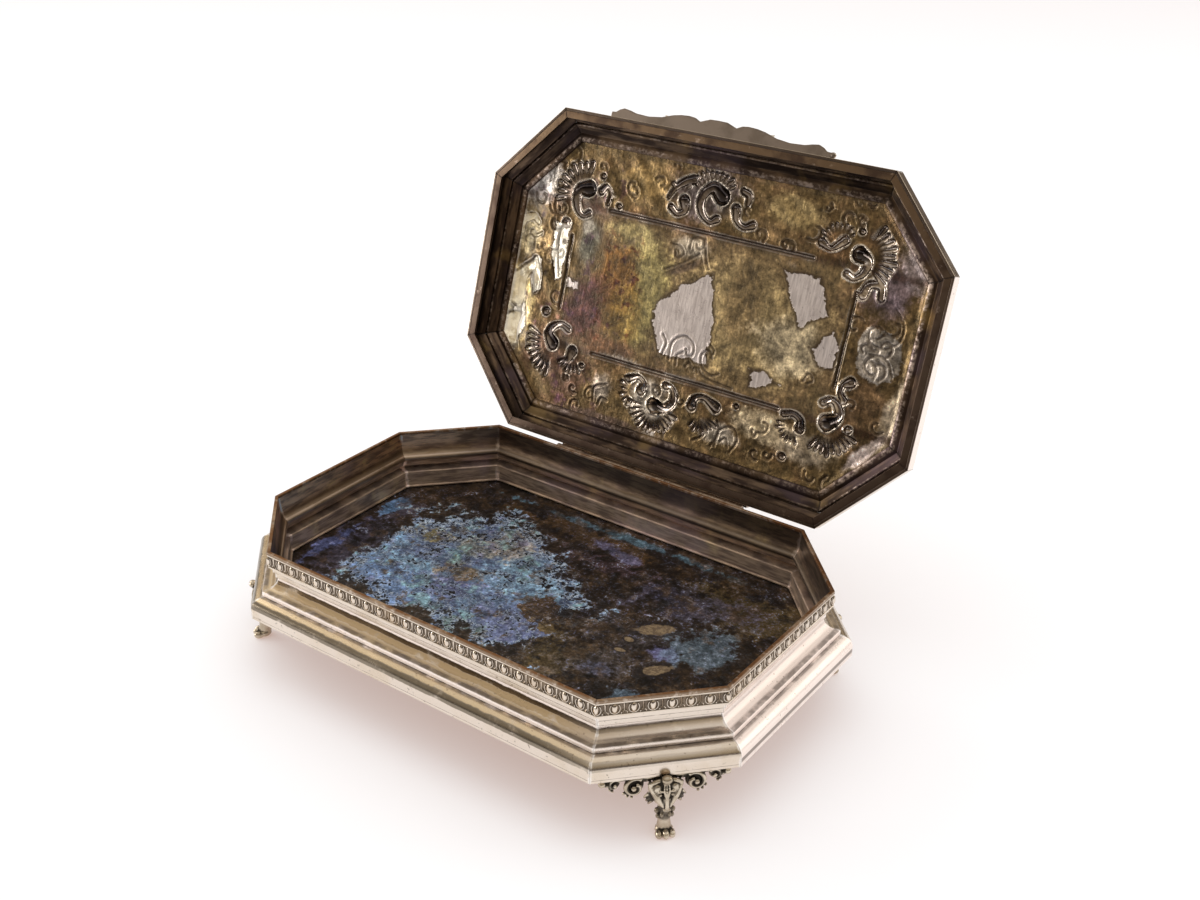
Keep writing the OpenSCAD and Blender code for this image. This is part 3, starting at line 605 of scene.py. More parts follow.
coppery, here = start_finish("coppery_rim")
reach = stored("reach")
mitre = stored("mitre")
cloud = noise(here, 9, 5, 0.65)
colour = blend((0.33, 0.17, 0.085), (0.62, 0.46, 0.33), cloud.step(0.45, 0.7))
colour = blend(colour, (0.13, 0.08, 0.06), noise(here, 4, 4).step(0.55, 0.72) * 0.7)
colour = blend(colour, (0.28, 0.21, 0.15), (reach + cloud * 0.2).step(-0.2, 0.02) * 0.85)
colour = blend(colour, (0.8, 0.7, 0.6), (cloud * 0.4 + noise(here, 2, 3)).step(0.72, 0.9) * 0.5)
colour = blend(colour, (0.2, 0.14, 0.1), mitre.step(0.25, 0.1) * 0.7)
coppery = end_finish(coppery, colour, 0.3 + cloud * 0.15, 1, noise(here, 1.5, 3), 0.03)
set_in_place(rim, box_place, "box_body", coppery, "rim_wire")

# Lining strips.
# Eight strips of thinner sheet inside the wall, which close its hollow from the floor up to a rolled
# edge. They were never polished, so they are brown with tarnish, with bright beads of solder. On them
# and on the wall's inner faces light and shade are painted by height: lighter low down, darker at the
# top and round the roll, with a painted highlight along the roll, and lighter at the left end.
def stretched(place, scale, turn=0):
    """A place pulled long, for streaks; the pull is greatest where the scale is smallest."""
    return Layer.node("ShaderNodeMapping", {}, {"Vector": place, "Rotation": (0, 0, turn), "Scale": scale})


def scaled(colour, power):
    """A colour times two to a varying power."""
    share = Layer.node("ShaderNodeMath", {"operation": "POWER"}, {0: 2, 1: power})
    return Layer.node("ShaderNodeVectorMath", {"operation": "SCALE"}, {0: colour, "Scale": share}, "Vector")


def second_finish(piece, finish, faces):
    """Gives some faces of a piece a second finish."""
    piece.data.materials.append(finish)
    for face in faces:
        piece.data.polygons[face].material_index = 1


lining_section = (
    [(0.7, -17.3), (0.7, -16.5), (-3.5, -16.5)] + arc((-3.8, -17.1), (0.6, 0.6), 90, 180, 5)
    + [(-4.3, -19), (-4.22, -21), (-4.32, -22.6)] + arc((-4.4, -23.2), (0.5, 0.5), 80, 270, 8)
    + [(-3.6, -23.9), (-3.6, -17.3)])

brown, here = start_finish("brown_tarnish_painted_light")
streak = noise(stretched(here, (0.25, 0.25, 1.6)), 2.2, 4, 0.6)
cloud = noise(here, 16, 5, 0.6)
mitre = stored("mitre")
blob = (mitre + noise(here, 3, 3) * 3).step(2.6, 1.7) * noise(here, 6, 2).step(0.35, 0.6)
colour = blend((0.3, 0.22, 0.155), (0.125, 0.09, 0.07), streak.step(0.35, 0.65))
colour = blend(colour, (0.5, 0.38, 0.2), cloud.step(0.55, 0.75) * 0.6)
colour = blend(colour, (0.3, 0.22, 0.23), noise(here, 30, 3).step(0.5, 0.7) * 0.5)
colour = blend(colour, (0.8, 0.66, 0.58), blob * 0.7)
# Painted light and shade by height: lighter and less metallic below the roll, darker in the upper band and
# round the roll, and lighter all the way up at the left end.
across, _, height = split(in_plan(here, box_place))
left_end = across.step(-66, -90)
below = height.step(-11, -13)
roll = abs(height + 10.2)
colour = scaled(colour, below * 0.7 - height.step(-8.5, -6) * (0.7 - left_end * 2.4)
                - roll.step(2, 0.5) * (1 - left_end) * 1.3)
# A painted highlight along the roll, strongest at the left end.
ridge = roll.step(2.6 - 1.3 * (1 - left_end), 0.4) * (streak + cloud * 0.5).step(0.45, 0.8)
colour = blend(colour, (0.7, 0.56, 0.44), ridge * (left_end * 0.45 + 0.2))
rough = 0.26 + streak * 0.12 + cloud * 0.1
waves = noise(here, 12, 2) + noise(here, 1.6, 4) * 0.06
brown = end_finish(brown, colour, rough, 1 - below * 0.35, waves, 0.25)

for side, piece in drawn_lengths("lining_sheet_", lining_section, 0.08):
    set_in_place(piece, box_place, "box_body", brown, "lining_" + SIDES[side])
    wall = bpy.data.objects["moulding_" + SIDES[side]]
    outward = outward_from(side).to_3d()
    second_finish(wall, brown, [
        face.index for face in wall.data.polygons
        if face.normal.dot(outward) < -0.05 and abs(face.normal.cross(outward).z) < 0.5])

# Floor.
# A flat plate soldered inside the plinth. Nobody polishes it, so tarnish has coloured it: a ground of
# brown and black, blue and violet clouds broken by dark specks, an olive haze and four bare places.
def spot(plan, centre, reach, turn=0):
    """Distance from an oval's centre as a share of its reach; all in millimetres of the plan."""
    inside = Layer.node("ShaderNodeMapping", {"vector_type": "TEXTURE"},
                        {"Vector": plan, "Location": (*centre, 0), "Rotation": (0, 0, math.radians(turn)),
                         "Scale": (*reach, 1e6)})
    return Layer.node("ShaderNodeVectorMath", {"operation": "LENGTH"}, {0: inside}, "Value")


def within(plan, corners):
    """Millimetres inside an outline with no hollows, whose corners go round anticlockwise."""
    inside = None
    for a, b in zip(corners, corners[1:] + corners[:1]):
        along = (Vector(b) - Vector(a)).normalized()
        line = Layer.node("ShaderNodeVectorMath", {"operation": "DOT_PRODUCT"},
                          {0: plan, 1: (-along.y, along.x, 0)}, "Value")
        line = line - (a[1] * along.x - a[0] * along.y)
        inside = inside.least(line) if inside else line
    return inside


floor_finish, here = start_finish("floor_tarnish")
plan = in_plan(here, box_place)
coarse = noise(here, 15, 5, 0.62)
middling = noise(here, 5, 4, 0.65)
fine = noise(here, 2, 4, 0.7)
grain = noise(here, 0.9, 3, 0.7)
ragged = (coarse - 0.5) * 4 + (middling - 0.5) * 2.4 + (fine - 0.5) * 1.2


def cloud_at(centre, reach, turn=0, low=-0.2, high=0.4):
    """1 inside a soft ragged oval of the finish in hand and 0 outside it."""
    return (1 - spot(plan, centre, reach, turn) + ragged).step(low, high)


def clouds(colour, low, high, *patches):
    """Lays ragged ovals over a colour: each a tone, a centre, a reach, a turn and a strength."""
    for tone, centre, reach, turn, strength in patches:
        colour = blend(colour, tone, cloud_at(centre, reach, turn, low, high) * strength)
    return colour


dark = blend((0.018, 0.012, 0.009), (0.06, 0.038, 0.022), (coarse + middling * 0.5).step(0.5, 0.95))
dark = clouds(
    dark, -0.1, 0.4,
    ((0.1, 0.07, 0.028), (64, 36), (34, 14), 0, 0.8), ((0.1, 0.07, 0.03), (24, -25), (16, 16), 0, 0.8),
    ((0.11, 0.09, 0.075), (38, -20), (16, 12), 0, 0.7), ((0.06, 0.05, 0.047), (40, -2), (18, 12), 0, 0.8),
    ((0.11, 0.12, 0.19), (42, -23), (8, 6), 0, 0.7), ((0.06, 0.055, 0.09), (40, 28), (24, 12), 10, 0.7),
    ((0.07, 0.042, 0.045), (8, 33), (22, 8), 0, 0.8), ((0.1, 0.055, 0.02), (-10, 46), (40, 5), 0, 0.8),
    ((0.06, 0.055, 0.085), (-80, -12), (12, 28), 0, 0.8), ((0.14, 0.14, 0.28), (54, -2), (7, 4), 0, 0.9),
    ((0.11, 0.17, 0.22), (66, 8), (13, 13), -30, 0.6), ((0.1, 0.15, 0.2), (60, -32), (12, 8), 0, 0.8),
    ((0.11, 0.105, 0.18), (2, 42.5), (12, 3), -10, 0.8), ((0.09, 0.11, 0.24), (-89.5, -18), (3, 20), 0, 1),
    ((0.12, 0.22, 0.38), (-89.5, 18), (3, 8), 0, 1), ((0.07, 0.13, 0.17), (0, 53), (58, 2.4), 0, 0.95))
speckled = (noise(here, 11, 4, 0.6) + cloud_at((20, 22), (60, 26)) * 0.12).step(0.44, 0.62)
dark = blend(dark, (0.11, 0.12, 0.2), (grain + fine * 0.5).step(0.8, 0.9) * speckled * 0.6)
dark = blend(dark, (0.26, 0.3, 0.38), (grain + middling).step(1.16, 1.26) * speckled * 0.8)
dark = blend(dark, (0.05, 0.03, 0.014), noise(here, 10, 5, 0.65).step(0.5, 0.6) * 0.8)

light = blend((0.12, 0.16, 0.28), (0.14, 0.22, 0.32), (coarse + fine * 0.4).step(0.6, 0.8))
light = clouds(
    light, -0.1, 0.4,
    ((0.11, 0.17, 0.3), (-50, -24), (18, 14), 0, 0.9), ((0.12, 0.13, 0.26), (-30, -14), (10, 8), 0, 0.8),
    ((0.12, 0.14, 0.25), (2, -20), (18, 11), 0, 0.9), ((0.07, 0.11, 0.08), (-12, -31), (9, 5), 0, 0.8),
    ((0.17, 0.29, 0.4), (-56, -9), (10, 6), 0, 0.8), ((0.11, 0.075, 0.035), (-38, -3), (11, 6), -20, 0.9),
    ((0.19, 0.16, 0.075), (-61, 10), (10, 7), 0, 0.95), ((0.19, 0.3, 0.4), (-8, 8), (26, 9), -12, 0.8),
    ((0.17, 0.16, 0.12), (-40, 12), (12, 6), 0, 0.8), ((0.26, 0.23, 0.2), (-34, 23), (14, 11), -10, 0.95),
    ((0.24, 0.33, 0.45), (-62, 25), (10, 8), 0, 0.9), ((0.1, 0.14, 0.19), (-46, 36), (13, 5), 12, 0.9),
    ((0.16, 0.28, 0.42), (-75, 6), (6, 6), 0, 0.9))
light = blend(light, (0.14, 0.14, 0.25), noise(here, 8, 4, 0.6).step(0.56, 0.66) * 0.6)
light = blend(light, (0.12, 0.22, 0.22), noise(here, 10, 4, 0.6).step(0.55, 0.64) * 0.7)
light = blend(light, (0.09, 0.06, 0.03), noise(here, 6.5, 5, 0.65).step(0.54, 0.63) * 0.85)
light = blend(light, (0.025, 0.02, 0.02), noise(here, 9, 5, 0.7).step(0.56, 0.63) * 0.6)

inside = within(plan, [(-68, -35), (-29, -37), (15, -32), (21, 7), (-18, 30), (-46, 41), (-69, 31), (-78, 5)])
inside = inside + (coarse - 0.5) * 55 + (middling - 0.5) * 26 + (fine - 0.5) * 9
wedge = cloud_at((13, -7), (15, 8), -12, 0.05, 0.25)
blue = inside.step(0, 2.5) * (1 - wedge)
colour = scaled(blend(dark, light, blue), (fine - 0.5) * 6 + (grain - 0.5) * 3 + (middling - 0.5) * 6
                + (coarse - 0.5) * 4)

near_edge = (abs(inside - 2).step(7, 1) + cloud_at((-62, 26), (14, 12)) * 0.8).least(1)
near_edge = near_edge.most(cloud_at((66, 8), (14, 14)))
lace = blend((0.22, 0.3, 0.46), (0.6, 0.68, 0.76), (grain + fine * 0.5).step(0.6, 0.85))
broken = noise(here, 12, 4, 0.6)
for size, share in ((3.4, 0.03), (1.7, 0.01)):
    holes = noise(here, size, 3, 0.62) + near_edge * 0.06 + (broken - 0.5) * 0.6 - share
    inside_blue = (blue * 0.9 + 0.1).least(1)
    colour = blend(colour, lace, abs(holes - 0.56).step(0.04, 0.01) * inside_blue * (near_edge * 0.5 + 0.3))
    colour = blend(colour, (0.008, 0.007, 0.009), (holes - 0.6).step(0, 0.03) * inside_blue)
colour = blend(colour, lace, (grain - 0.62).step(0, 0.06) * near_edge * blue * 0.7)
bare, rim = 0, 0
for centre, reach, turn in (((44.9, 8), (7.6, 3.6), 38), ((58.8, -11.7), (6, 3), 52),
                            ((41.2, -2.4), (2.2, 1.5), 0), ((42, -9.4), (2.4, 1.2), 10)):
    oval = 1 - spot(plan, centre, reach, turn) + (middling - 0.5) * 0.9 + (fine - 0.5) * 0.5
    bare = oval.step(0.05, 0.25).most(bare)
    rim = abs(oval + 0.12).step(0.36, 0).most(rim)
colour = blend(colour, (0.02, 0.016, 0.016), rim * 0.8)
bare_tone = blend((0.36, 0.27, 0.16), (0.17, 0.12, 0.075), (fine + grain * 0.5).step(0.62, 0.86))
colour = blend(colour, bare_tone, bare * 0.95)
rough = 0.28 + blue * 0.16 + fine * 0.15
floor_finish = end_finish(floor_finish, colour, rough, 0.6, fine * 0.5 + grain * 0.2 + middling, 0.12)
floor = frame["nodes"]["floor_plate"]
floor.data.materials.clear()
floor.data.materials.append(floor_finish)

# Lid edge.
# Eight lengths of silver sheet worked to one hollow moulding, mitred and soldered: an upright rim, an
# ovolo, a step, a hollow and the flat frame round the panel. It is polished outside and brown inside.
axis_out, axis_down, lid_gap = 3.1, 2.8, 0.15
lid_rim_out = 1.85
ledge_height = 9
lid_opening = math.radians(107.9)
lid_place = (Matrix.Translation((0, mid_y + (half_w + axis_out) * MM, rim_z - axis_down * MM))
             @ Matrix.Rotation(-lid_opening, 4, "X")
             @ Matrix.Translation((0, -(half_w + axis_out) * MM, (axis_down + lid_gap) * MM)))
lid_section = (
    [(lid_rim_out, 0)]
    + arc((-2.75, 4.4), (4.6, 2.5), 0, 90, 12) + arc((-2.75, 9.8), (4.4, 2.3), 270, 180, 12)
    + [(-7.15, 10.4), (-8.35, 10.4), (-8.35, ledge_height), (-10.25, ledge_height), (-10.25, 8.3),
       (-9.2, 7.95), (-7.75, 8), (-6.75, 8.3), (-4.55, 6.5), (-4.15, 6.05), (-3.65, 5.9), (-3.15, 6),
       (-2.75, 6.3), (-1.35, 5.2), (0.75, 4.4), (0.75, 0)])
lid_silver = polished_silver("lid_polish", lid_place, ((6.95, 0.3), (7.5, 0.3), (9.8, 0.25)),
                             ((8.2, 9.6, (0.4, 0.3, 0.2), 0.7),))

lid_brown, here = start_finish("lid_inner_tarnish_painted_light")
plan = in_plan(here, lid_place)
side_ways, up_ways, height = split(plan)
reach = stored("reach")
mitre = stored("mitre")
streak = noise(stretched(plan, (0.05 * MM, 0.05 * MM, 0.5 * MM)), 0.625, 4, 0.5)
cloud = noise(here, 13, 5, 0.6)
grain = noise(here, 1.8, 4, 0.7)
colour = blend((0.2, 0.135, 0.09), (0.055, 0.036, 0.028), (streak + cloud * 0.4).step(0.52, 0.8))
colour = blend(colour, (0.115, 0.08, 0.09), noise(here, 26, 3).step(0.5, 0.66) * 0.7)
colour = blend(colour, (0.36, 0.24, 0.1), noise(here, 19, 4).step(0.57, 0.7) * 0.55)
colour = blend(colour, (0.17, 0.13, 0.105), reach.step(0.4, 0.9) * 0.8)
colour = scaled(colour, abs(up_ways).step(40, 56) * -0.7)
# Painted highlights, speckled, along two lines of the moulding, strongest at the left and right ends.
lit = (abs(reach + 9).step(1.3, 0.5) + abs(reach + 3.6).step(0.8, 0.3) * 0.6).least(1)
lit = lit * (grain + cloud * 0.5).step(0.68, 0.95) * (abs(side_ways).step(62, 82) * 0.6 + 0.3)
colour = blend(colour, (0.72, 0.58, 0.5), lit)
colour = blend(colour, (0.04, 0.03, 0.025), (mitre + grain * 0.6).step(0.9, 0.4) * 0.7)
rough = 0.24 + streak * 0.15 + cloud * 0.12
lid_brown = end_finish(lid_brown, colour, rough, 1, noise(here, 10, 2) + grain * 0.08, 0.25)

for side, piece in drawn_lengths("lid_moulding_", lid_section, 0.14):
    outward = outward_from(side)
    inner = []
    for face in piece.data.polygons:
        turned_in = face.normal.z < 0.15 and face.normal.xy.dot(outward) < 0.3
        deep_in = (side_ends(side)[0] - face.center.xy / MM).dot(outward) > 3.5 and face.normal.z < 0.5
        if turned_in and face.center.z < (ledge_height - 0.1) * MM or deep_in:
            inner.append(face.index)
    set_in_place(piece, lid_place, "lid", lid_silver, "lid_edge_" + SIDES[side])
    second_finish(piece, lid_brown, inner)

# Bearing strips.
# Flat strips soldered inside the lid's rim, which rest on the rim wire when the lid is shut. They are
# rubbed there, so their brown is warmer and thinner than the rest.
seat_section = [(0.7, 0), (0.7, 0.9), (-1.95, 0.9), (-1.95, 0)]
seat_finish, here = start_finish("bearing_tarnish")
plan = in_plan(here, lid_place)
up_ways = split(plan)[1]
mitre = stored("mitre")
streak = noise(stretched(plan, (0.05 * MM, 0.05 * MM, 0.5 * MM)), 0.5, 5, 0.5)
warm = up_ways.step(-20, -58)
colour = blend((0.13, 0.092, 0.07), (0.2, 0.135, 0.085), warm)
colour = blend(colour, (0.07, 0.045, 0.035), (streak + noise(here, 7, 4) * 0.5).step(0.7, 0.95) * 0.85)
colour = blend(colour, (0.7, 0.55, 0.45), noise(here, 5, 5, 0.7).step(0.6, 0.75) * 0.5)
colour = blend(colour, (0.05, 0.035, 0.03), mitre.step(0.3, 0.12) * 0.8)
seat_finish = end_finish(seat_finish, colour, 0.28 + streak * 0.15, 1, noise(here, 3, 4), 0.05)
for side, piece in drawn_lengths("bearing_strip_", seat_section, 0.12):
    set_in_place(piece, lid_place, "lid", seat_finish, "lid_seat_" + SIDES[side])

# Cast feet.
# Four feet cast in silver and soldered under the cut corners: a beast's mask over a leg and a paw,
# with leaves at its neck and scrolls to both sides. Their high places are rubbed, their hollows black.
# A painted shadow blackens them just under the plinth, and their side scrolls, all but the crests, and
# their leg below the mask are darkened.
def strand(points, widths, resolution=2):
    """A tapering round rod through points; points and diameters are in millimetres."""
    bpy.ops.curve.primitive_nurbs_path_add()
    path = bpy.context.object
    path.data.splines.clear()
    line = path.data.splines.new("POLY")
    line.points.add(len(points) - 1)
    for point, place, width in zip(line.points, points, widths):
        point.co = (*[c * MM for c in place], 1)
        point.radius = width / 2
    path.data.bevel_depth = MM
    path.data.bevel_resolution = resolution
    path.data.use_fill_caps = True
    bpy.ops.object.convert(target="MESH")
    rod = bpy.context.object
    rod.data.materials.clear()
    return rod


def through(*points, steps=5):
    """A smooth line through a few points."""
    line = [Vector(p) for p in points]
    line = [2 * line[0] - line[1], *line, 2 * line[-1] - line[-2]]
    made = []
    for a, b, c, d in zip(line, line[1:], line[2:], line[3:]):
        for k in range(steps):
            t = k / steps
            made.append(b + (c - a) * t / 2 + (a - b * 2.5 + c * 2 - d / 2) * t * t
                        + (b * 1.5 - c * 1.5 + (d - a) / 2) * t ** 3)
    return made + [line[-2]]


def taper(count, start, middle, end):
    """Diameters along a strand."""
    return [start + (middle - start) * 2 * t if t < 0.5 else middle + (end - middle) * (2 * t - 1)
            for t in [k / (count - 1) for k in range(count)]]


def curl(centre, out, start, stop, first, last, depth, steps):
    """A scroll in the X-Z plane about a centre: angles in degrees, radii from first to last."""
    turned = []
    for k in range(steps + 1):
        t = k / steps
        angle = math.radians(start + (stop - start) * t)
        reach = first + (last - first) * t
        turned.append((centre[0] + reach * math.cos(angle), out + depth * t,
                       centre[1] + reach * math.sin(angle)))
    return turned


def fuse(piece, grain, smooth):
    """Melts joined lumps into one skin, as a casting has; grain is in millimetres."""
    pick(piece)
    piece.data.remesh_voxel_size = grain * MM
    bpy.ops.object.voxel_remesh()
    flow = piece.modifiers.new("flow", "SMOOTH")
    flow.factor = 0.5
    flow.iterations = smooth
    bpy.ops.object.modifier_apply(modifier=flow.name)
    bpy.ops.object.shade_smooth()


def mark_hollows(piece, rounds):
    """Stores each point's depth below its smoothed surroundings, in millimetres, as "hollow"."""
    mesh = piece.data
    count = len(mesh.vertices)
    places = np.empty(count * 3)
    mesh.vertices.foreach_get("co", places)
    places = places.reshape(-1, 3) / MM
    normals = np.empty(count * 3)
    mesh.vertices.foreach_get("normal", normals)
    ends = np.empty(len(mesh.edges) * 2, dtype=int)
    mesh.edges.foreach_get("vertices", ends)
    first, second = ends.reshape(-1, 2).T
    share = np.bincount(first, minlength=count) + np.bincount(second, minlength=count)
    smooth = places.copy()
    for _ in range(rounds):
        for axis in range(3):
            around = np.bincount(first, smooth[second, axis], count)
            around += np.bincount(second, smooth[first, axis], count)
            smooth[:, axis] = around / np.maximum(share, 1)
    depth = ((smooth - places) * normals.reshape(-1, 3)).sum(axis=1)
    store_on(piece, "hollow", depth.astype(np.float32))


parts = [
    ball((0, 8.9, 22.8), (1.8, 1.5, 1.4), 8, 12), ball((0, 8.2, 21.4), (1.5, 1.2, 1.2), 6, 10),
    ball((0, 6.5, 18.6), (4.4, 2.2, 4.2), 10, 14), ball((0, 5.6, 20), (3.8, 2, 2.9), 8, 12),
    ball((0, 8.2, 14.2), (2, 1.7, 3.4), 8, 12), ball((0, 9.3, 11.5), (1.3, 1, 1), 6, 10),
    ball((0, 6.3, 9.4), (2.3, 2.2, 3), 8, 12),
    strand(through((0, 8.6, 20.6), (0, 9.3, 17), (0, 9.9, 13.6), (0, 9.9, 12.2)), taper(16, 0.9, 1.3, 1.4)),
    strand(through((0, 6.2, 12), (0, 6.2, 7), (0, 6.3, 3.6), (0, 6.4, 1.4)), taper(16, 4.4, 4.1, 5.4), 4),
    ball((0, 6.6, 1.7), (3, 2.7, 1.9), 8, 12), ball((0, 9, 1.5), (1.25, 2, 1.6), 8, 10)]
for sign in (-1, 1):
    def pair(*points):
        return through(*[(sign * x, y, z) for x, y, z in points])

    parts += [
        ball((sign * 2.15, 8.6, 1.35), (1.15, 1.9, 1.4), 8, 10),
        ball((sign * 1.9, 8.6, 16.9), (0.7, 0.6, 0.55), 6, 8),
        ball((sign * 2.5, 7.6, 17.9), (2.2, 1.3, 2.9), 8, 12),
        ball((sign * 1.6, 8.2, 14.6), (1.5, 1.1, 2.6), 8, 12),
        ball((sign * 9.6, 5.3, 19.1), (3.2, 1, 3.1), 8, 12), ball((sign * 15.9, 5.3, 20.8), (2, 1, 2), 8, 12),
        ball((sign * 5.6, 5.2, 21.4), (2.6, 0.9, 1.5), 8, 12),
        strand(pair((0.7, 8.9, 20.6), (0.8, 9.4, 18.6), (0.6, 9.6, 16.6)), taper(11, 0.5, 0.7, 0.4)),
        ball((sign * 0.75, 10.1, 11.9), (0.5, 0.45, 0.45), 5, 8),
        ball((sign * 2.75, 7.6, 14.8), (1.1, 1, 1.7), 6, 8),
        ball((sign * 2.5, 6.9, 9.6), (0.95, 0.9, 1), 6, 8),
        ball((sign * 2.25, 7.2, 7.6), (0.8, 0.8, 0.85), 6, 8),
        ball((sign * 1.2, 8.3, 8.6), (0.7, 0.7, 0.9), 6, 8),
        strand(pair((0.5, 8.7, 18.2), (1.9, 8.9, 18.3), (3.3, 8, 17.1)), taper(11, 0.7, 1, 0.5)),
        strand(pair((0.7, 8.2, 22.2), (2.9, 7.9, 21.6), (4.9, 7.2, 19.7), (5, 6.9, 16.8)),
               taper(16, 1.1, 1.5, 0.7)),
        strand(pair((5, 6.9, 20.6), (3.9, 7.7, 18), (2.2, 8.5, 14.8), (0.8, 9.1, 12.4)),
               taper(16, 1.6, 2.7, 1.3)),
        strand(curl((sign * 9.6, 19.1), 6.1, 90 + sign * 40, 90 - sign * 340, 3.4, 1.1, 0.5, 30),
               taper(31, 1.6, 1.9, 1.4)),
        ball((sign * 9.9, 6.9, 19.1), (1, 0.9, 1), 6, 10),
        strand(curl((sign * 15.9, 20.8), 6.1, 90 + sign * 60, 90 - sign * 250, 2, 0.7, 0.4, 20),
               taper(21, 1.1, 1.3, 0.9)),
        ball((sign * 15.8, 6.7, 20.7), (0.65, 0.6, 0.65), 6, 8),
        strand(pair((2.5, 5.6, 21.9), (9, 5.8, 22.3), (15, 5.9, 22.3), (20, 6, 22.2)),
               taper(16, 1.8, 1.3, 1)),
        ball((sign * 19.7, 6.2, 21.5), (1.3, 1.1, 1.2), 6, 10),
        ball((sign * 18.2, 6.3, 20.9), (0.8, 0.7, 0.8), 5, 8)]
    parts += [
        strand(pair((3, 6.6, 16.2), (5 - 0.3 * k, 6.8, 16.4 - 1.3 * k), (6.6 - 0.7 * k, 6.2, 14.6 - 1.3 * k)),
               taper(11, 1, 1.6, 0.7)) for k in range(3)]
    parts += [ball((sign * x, 6.4, z), (0.55, 0.6, 0.55), 5, 8)
              for x, z in ((12.9, 17.2), (11.9, 16), (10.5, 15.4), (17.4, 19.3), (16.6, 18.6))]
foot = join("cast_foot", *parts)
fuse(foot, 0.24, 3)
cut_away(foot, (0, 0, 0), (0, 0, -1))
cut_away(foot, (0, 4.2, 0), (0, -1, 0))
mark_hollows(foot, 40)
store_on(foot, "sideways", [abs(point.co.x) / MM for point in foot.data.vertices])

cast, here = start_finish("cast_silver")
hollow = stored("hollow")
grain = noise(here, 1.2, 4, 0.6)
dark = (hollow + (grain - 0.5) * 0.12).step(-0.06, 0.2)
behind = noise(here, 6, 3)
colour = blend((0.66, 0.58, 0.46), (0.36, 0.29, 0.2), behind.step(0.42, 0.62) * 0.7)
up_ways = split(here)[2] * (1 / MM)
sideways = stored("sideways")
behind_mask = sideways.step(5.2, 6).most(sideways.step(3.2, 4.2) * up_ways.step(17.8, 16.8))
# The scrolls beside and behind the mask are darkened, all but their crests.
dark = dark.most(behind_mask * (hollow + 0.34 + (grain - 0.5) * 0.1).step(0, 0.24) * 0.95)
# Painted shadow: black just under the plinth, from about 21 mm up, all but the high places.
dark = dark.most(up_ways.step(21, 21.8) * (hollow + 0.25).step(0, 0.25))
# The leg between about 6 and 12 mm up is darkened, the more so in its hollows.
dark = dark.most(abs(up_ways - 9).step(3.2, 2) * (0.75 + hollow * 0.8)).least(1)
colour = blend(colour, (0.022, 0.018, 0.015), dark * 0.96)
cast = end_finish(cast, colour, 0.18 + dark * 0.3 + grain * 0.08, 0.85 + dark * 0.15, grain, 0.03)
for side in CUT_SIDES:
    piece = copy_of(foot, "beast_foot_" + SIDES[side])
    place = Matrix.Translation((0, mid_y, 0)) @ side_place(side)
    set_in_place(piece, place, "box_body", cast, "foot_" + SIDES[side])
bpy.data.objects.remove(foot)

# Thumbpiece.
# A cast silver plate with a lobed edge, soldered flat to the front of the lid's rim. Its underside is
# plain and dull; a shell and scrolls stand on its outer side.
thumb_shift = -2
thumb_edge = [(0, 5.6), (3.6, 5.5), (8, 4), (10.4, 5.1), (13, 5.4), (16.5, 5.2), (20, 4.6), (25, 3.1),
              (31, 2.4), (37, 2.7), (40, 3.4), (42.6, 3.75), (44.6, 3), (46.2, 1.9), (48, 1.8), (48.2, -0.3)]
thumb_line = [(-x, -y) for x, y in reversed(thumb_edge[1:])] + [(x, -y) for x, y in thumb_edge]
front_y = -(half_w + lid_rim_out)
bpy.ops.mesh.primitive_circle_add(vertices=len(thumb_line), fill_type="NGON")
plate = bpy.context.object
for corner, (x, y) in zip(plate.data.vertices, thumb_line):
    corner.co = ((x + thumb_shift) * MM, (front_y + y) * MM, 0.1 * MM)
draw_out((0, 0, 0.9))


def on_plate(points):
    """Points of the plate's plan, out from the lid's front, set on its outer side."""
    return [(x + thumb_shift, front_y - y, 1) for x, y in points]


parts = [plate, ball((46.7, front_y - 1, 0.9), (1.3, 1.1, 0.9), 8, 12)]
for k in range(-4, 5):
    angle = math.radians(k * 19)
    tip = (4.9 * math.sin(angle) * 1.15, 0.3 + 4.9 * math.cos(angle))
    parts.append(strand(on_plate([(tip[0] * t, 0.2 + (tip[1] - 0.2) * t) for t in (0.1, 0.4, 0.75, 1)]),
                        (0.5, 0.9, 1.2, 0.8)))
for sign in (-1, 1):
    ring = [(x, z) for x, _, z in curl((sign * 12.6, 2.9), 0, 90 - sign * 60, 90 + sign * 300, 2, 0.6, 0, 18)]
    parts.append(strand(on_plate(ring), taper(19, 1, 1, 0.8)))
    vine = [(sign * x, y) for x, y in through((15, 2), (21, 3.3), (29, 1.3), (37, 1.6), (43, 2.7))]
    parts.append(strand(on_plate(vine), taper(len(vine), 1.1, 0.9, 0.8)))
    for x, y, turned in ((22, 3.4, 1), (26.5, 1.5, -1), (33, 1, 1), (39, 1.6, 1), (43.6, 2, -1)):
        leaf = [(sign * (x + t), y + turned * 0.17 * t * t) for t in (0, 0.7, 1.4, 2)]
        parts.append(strand(on_plate(leaf), (0.9, 1.1, 0.8, 0.3)))
thumb = join("cast_thumbpiece", *parts)
fuse(thumb, 0.26, 2)
mark_hollows(thumb, 30)
thumb_finish, here = start_finish("thumb_silver")
under = split(in_plan(here, lid_place))[2].step(0.6, 0.3)
hollow = stored("hollow")
dark = (hollow + (noise(here, 1.2, 4) - 0.5) * 0.1).step(-0.06, 0.14)
dull = noise(here, 12, 5, 0.6)
colour = blend(blend((0.76, 0.69, 0.6), (0.03, 0.025, 0.02), dark * 0.9), (0.23, 0.185, 0.15), under)
colour = blend(colour, (0.14, 0.11, 0.085), dull.step(0.5, 0.7) * under * 0.6)
rough = 0.22 + under * 0.2 + dull * 0.1
thumb_finish = end_finish(thumb_finish, colour, rough, 1, noise(here, 2.5, 3), 0.03)
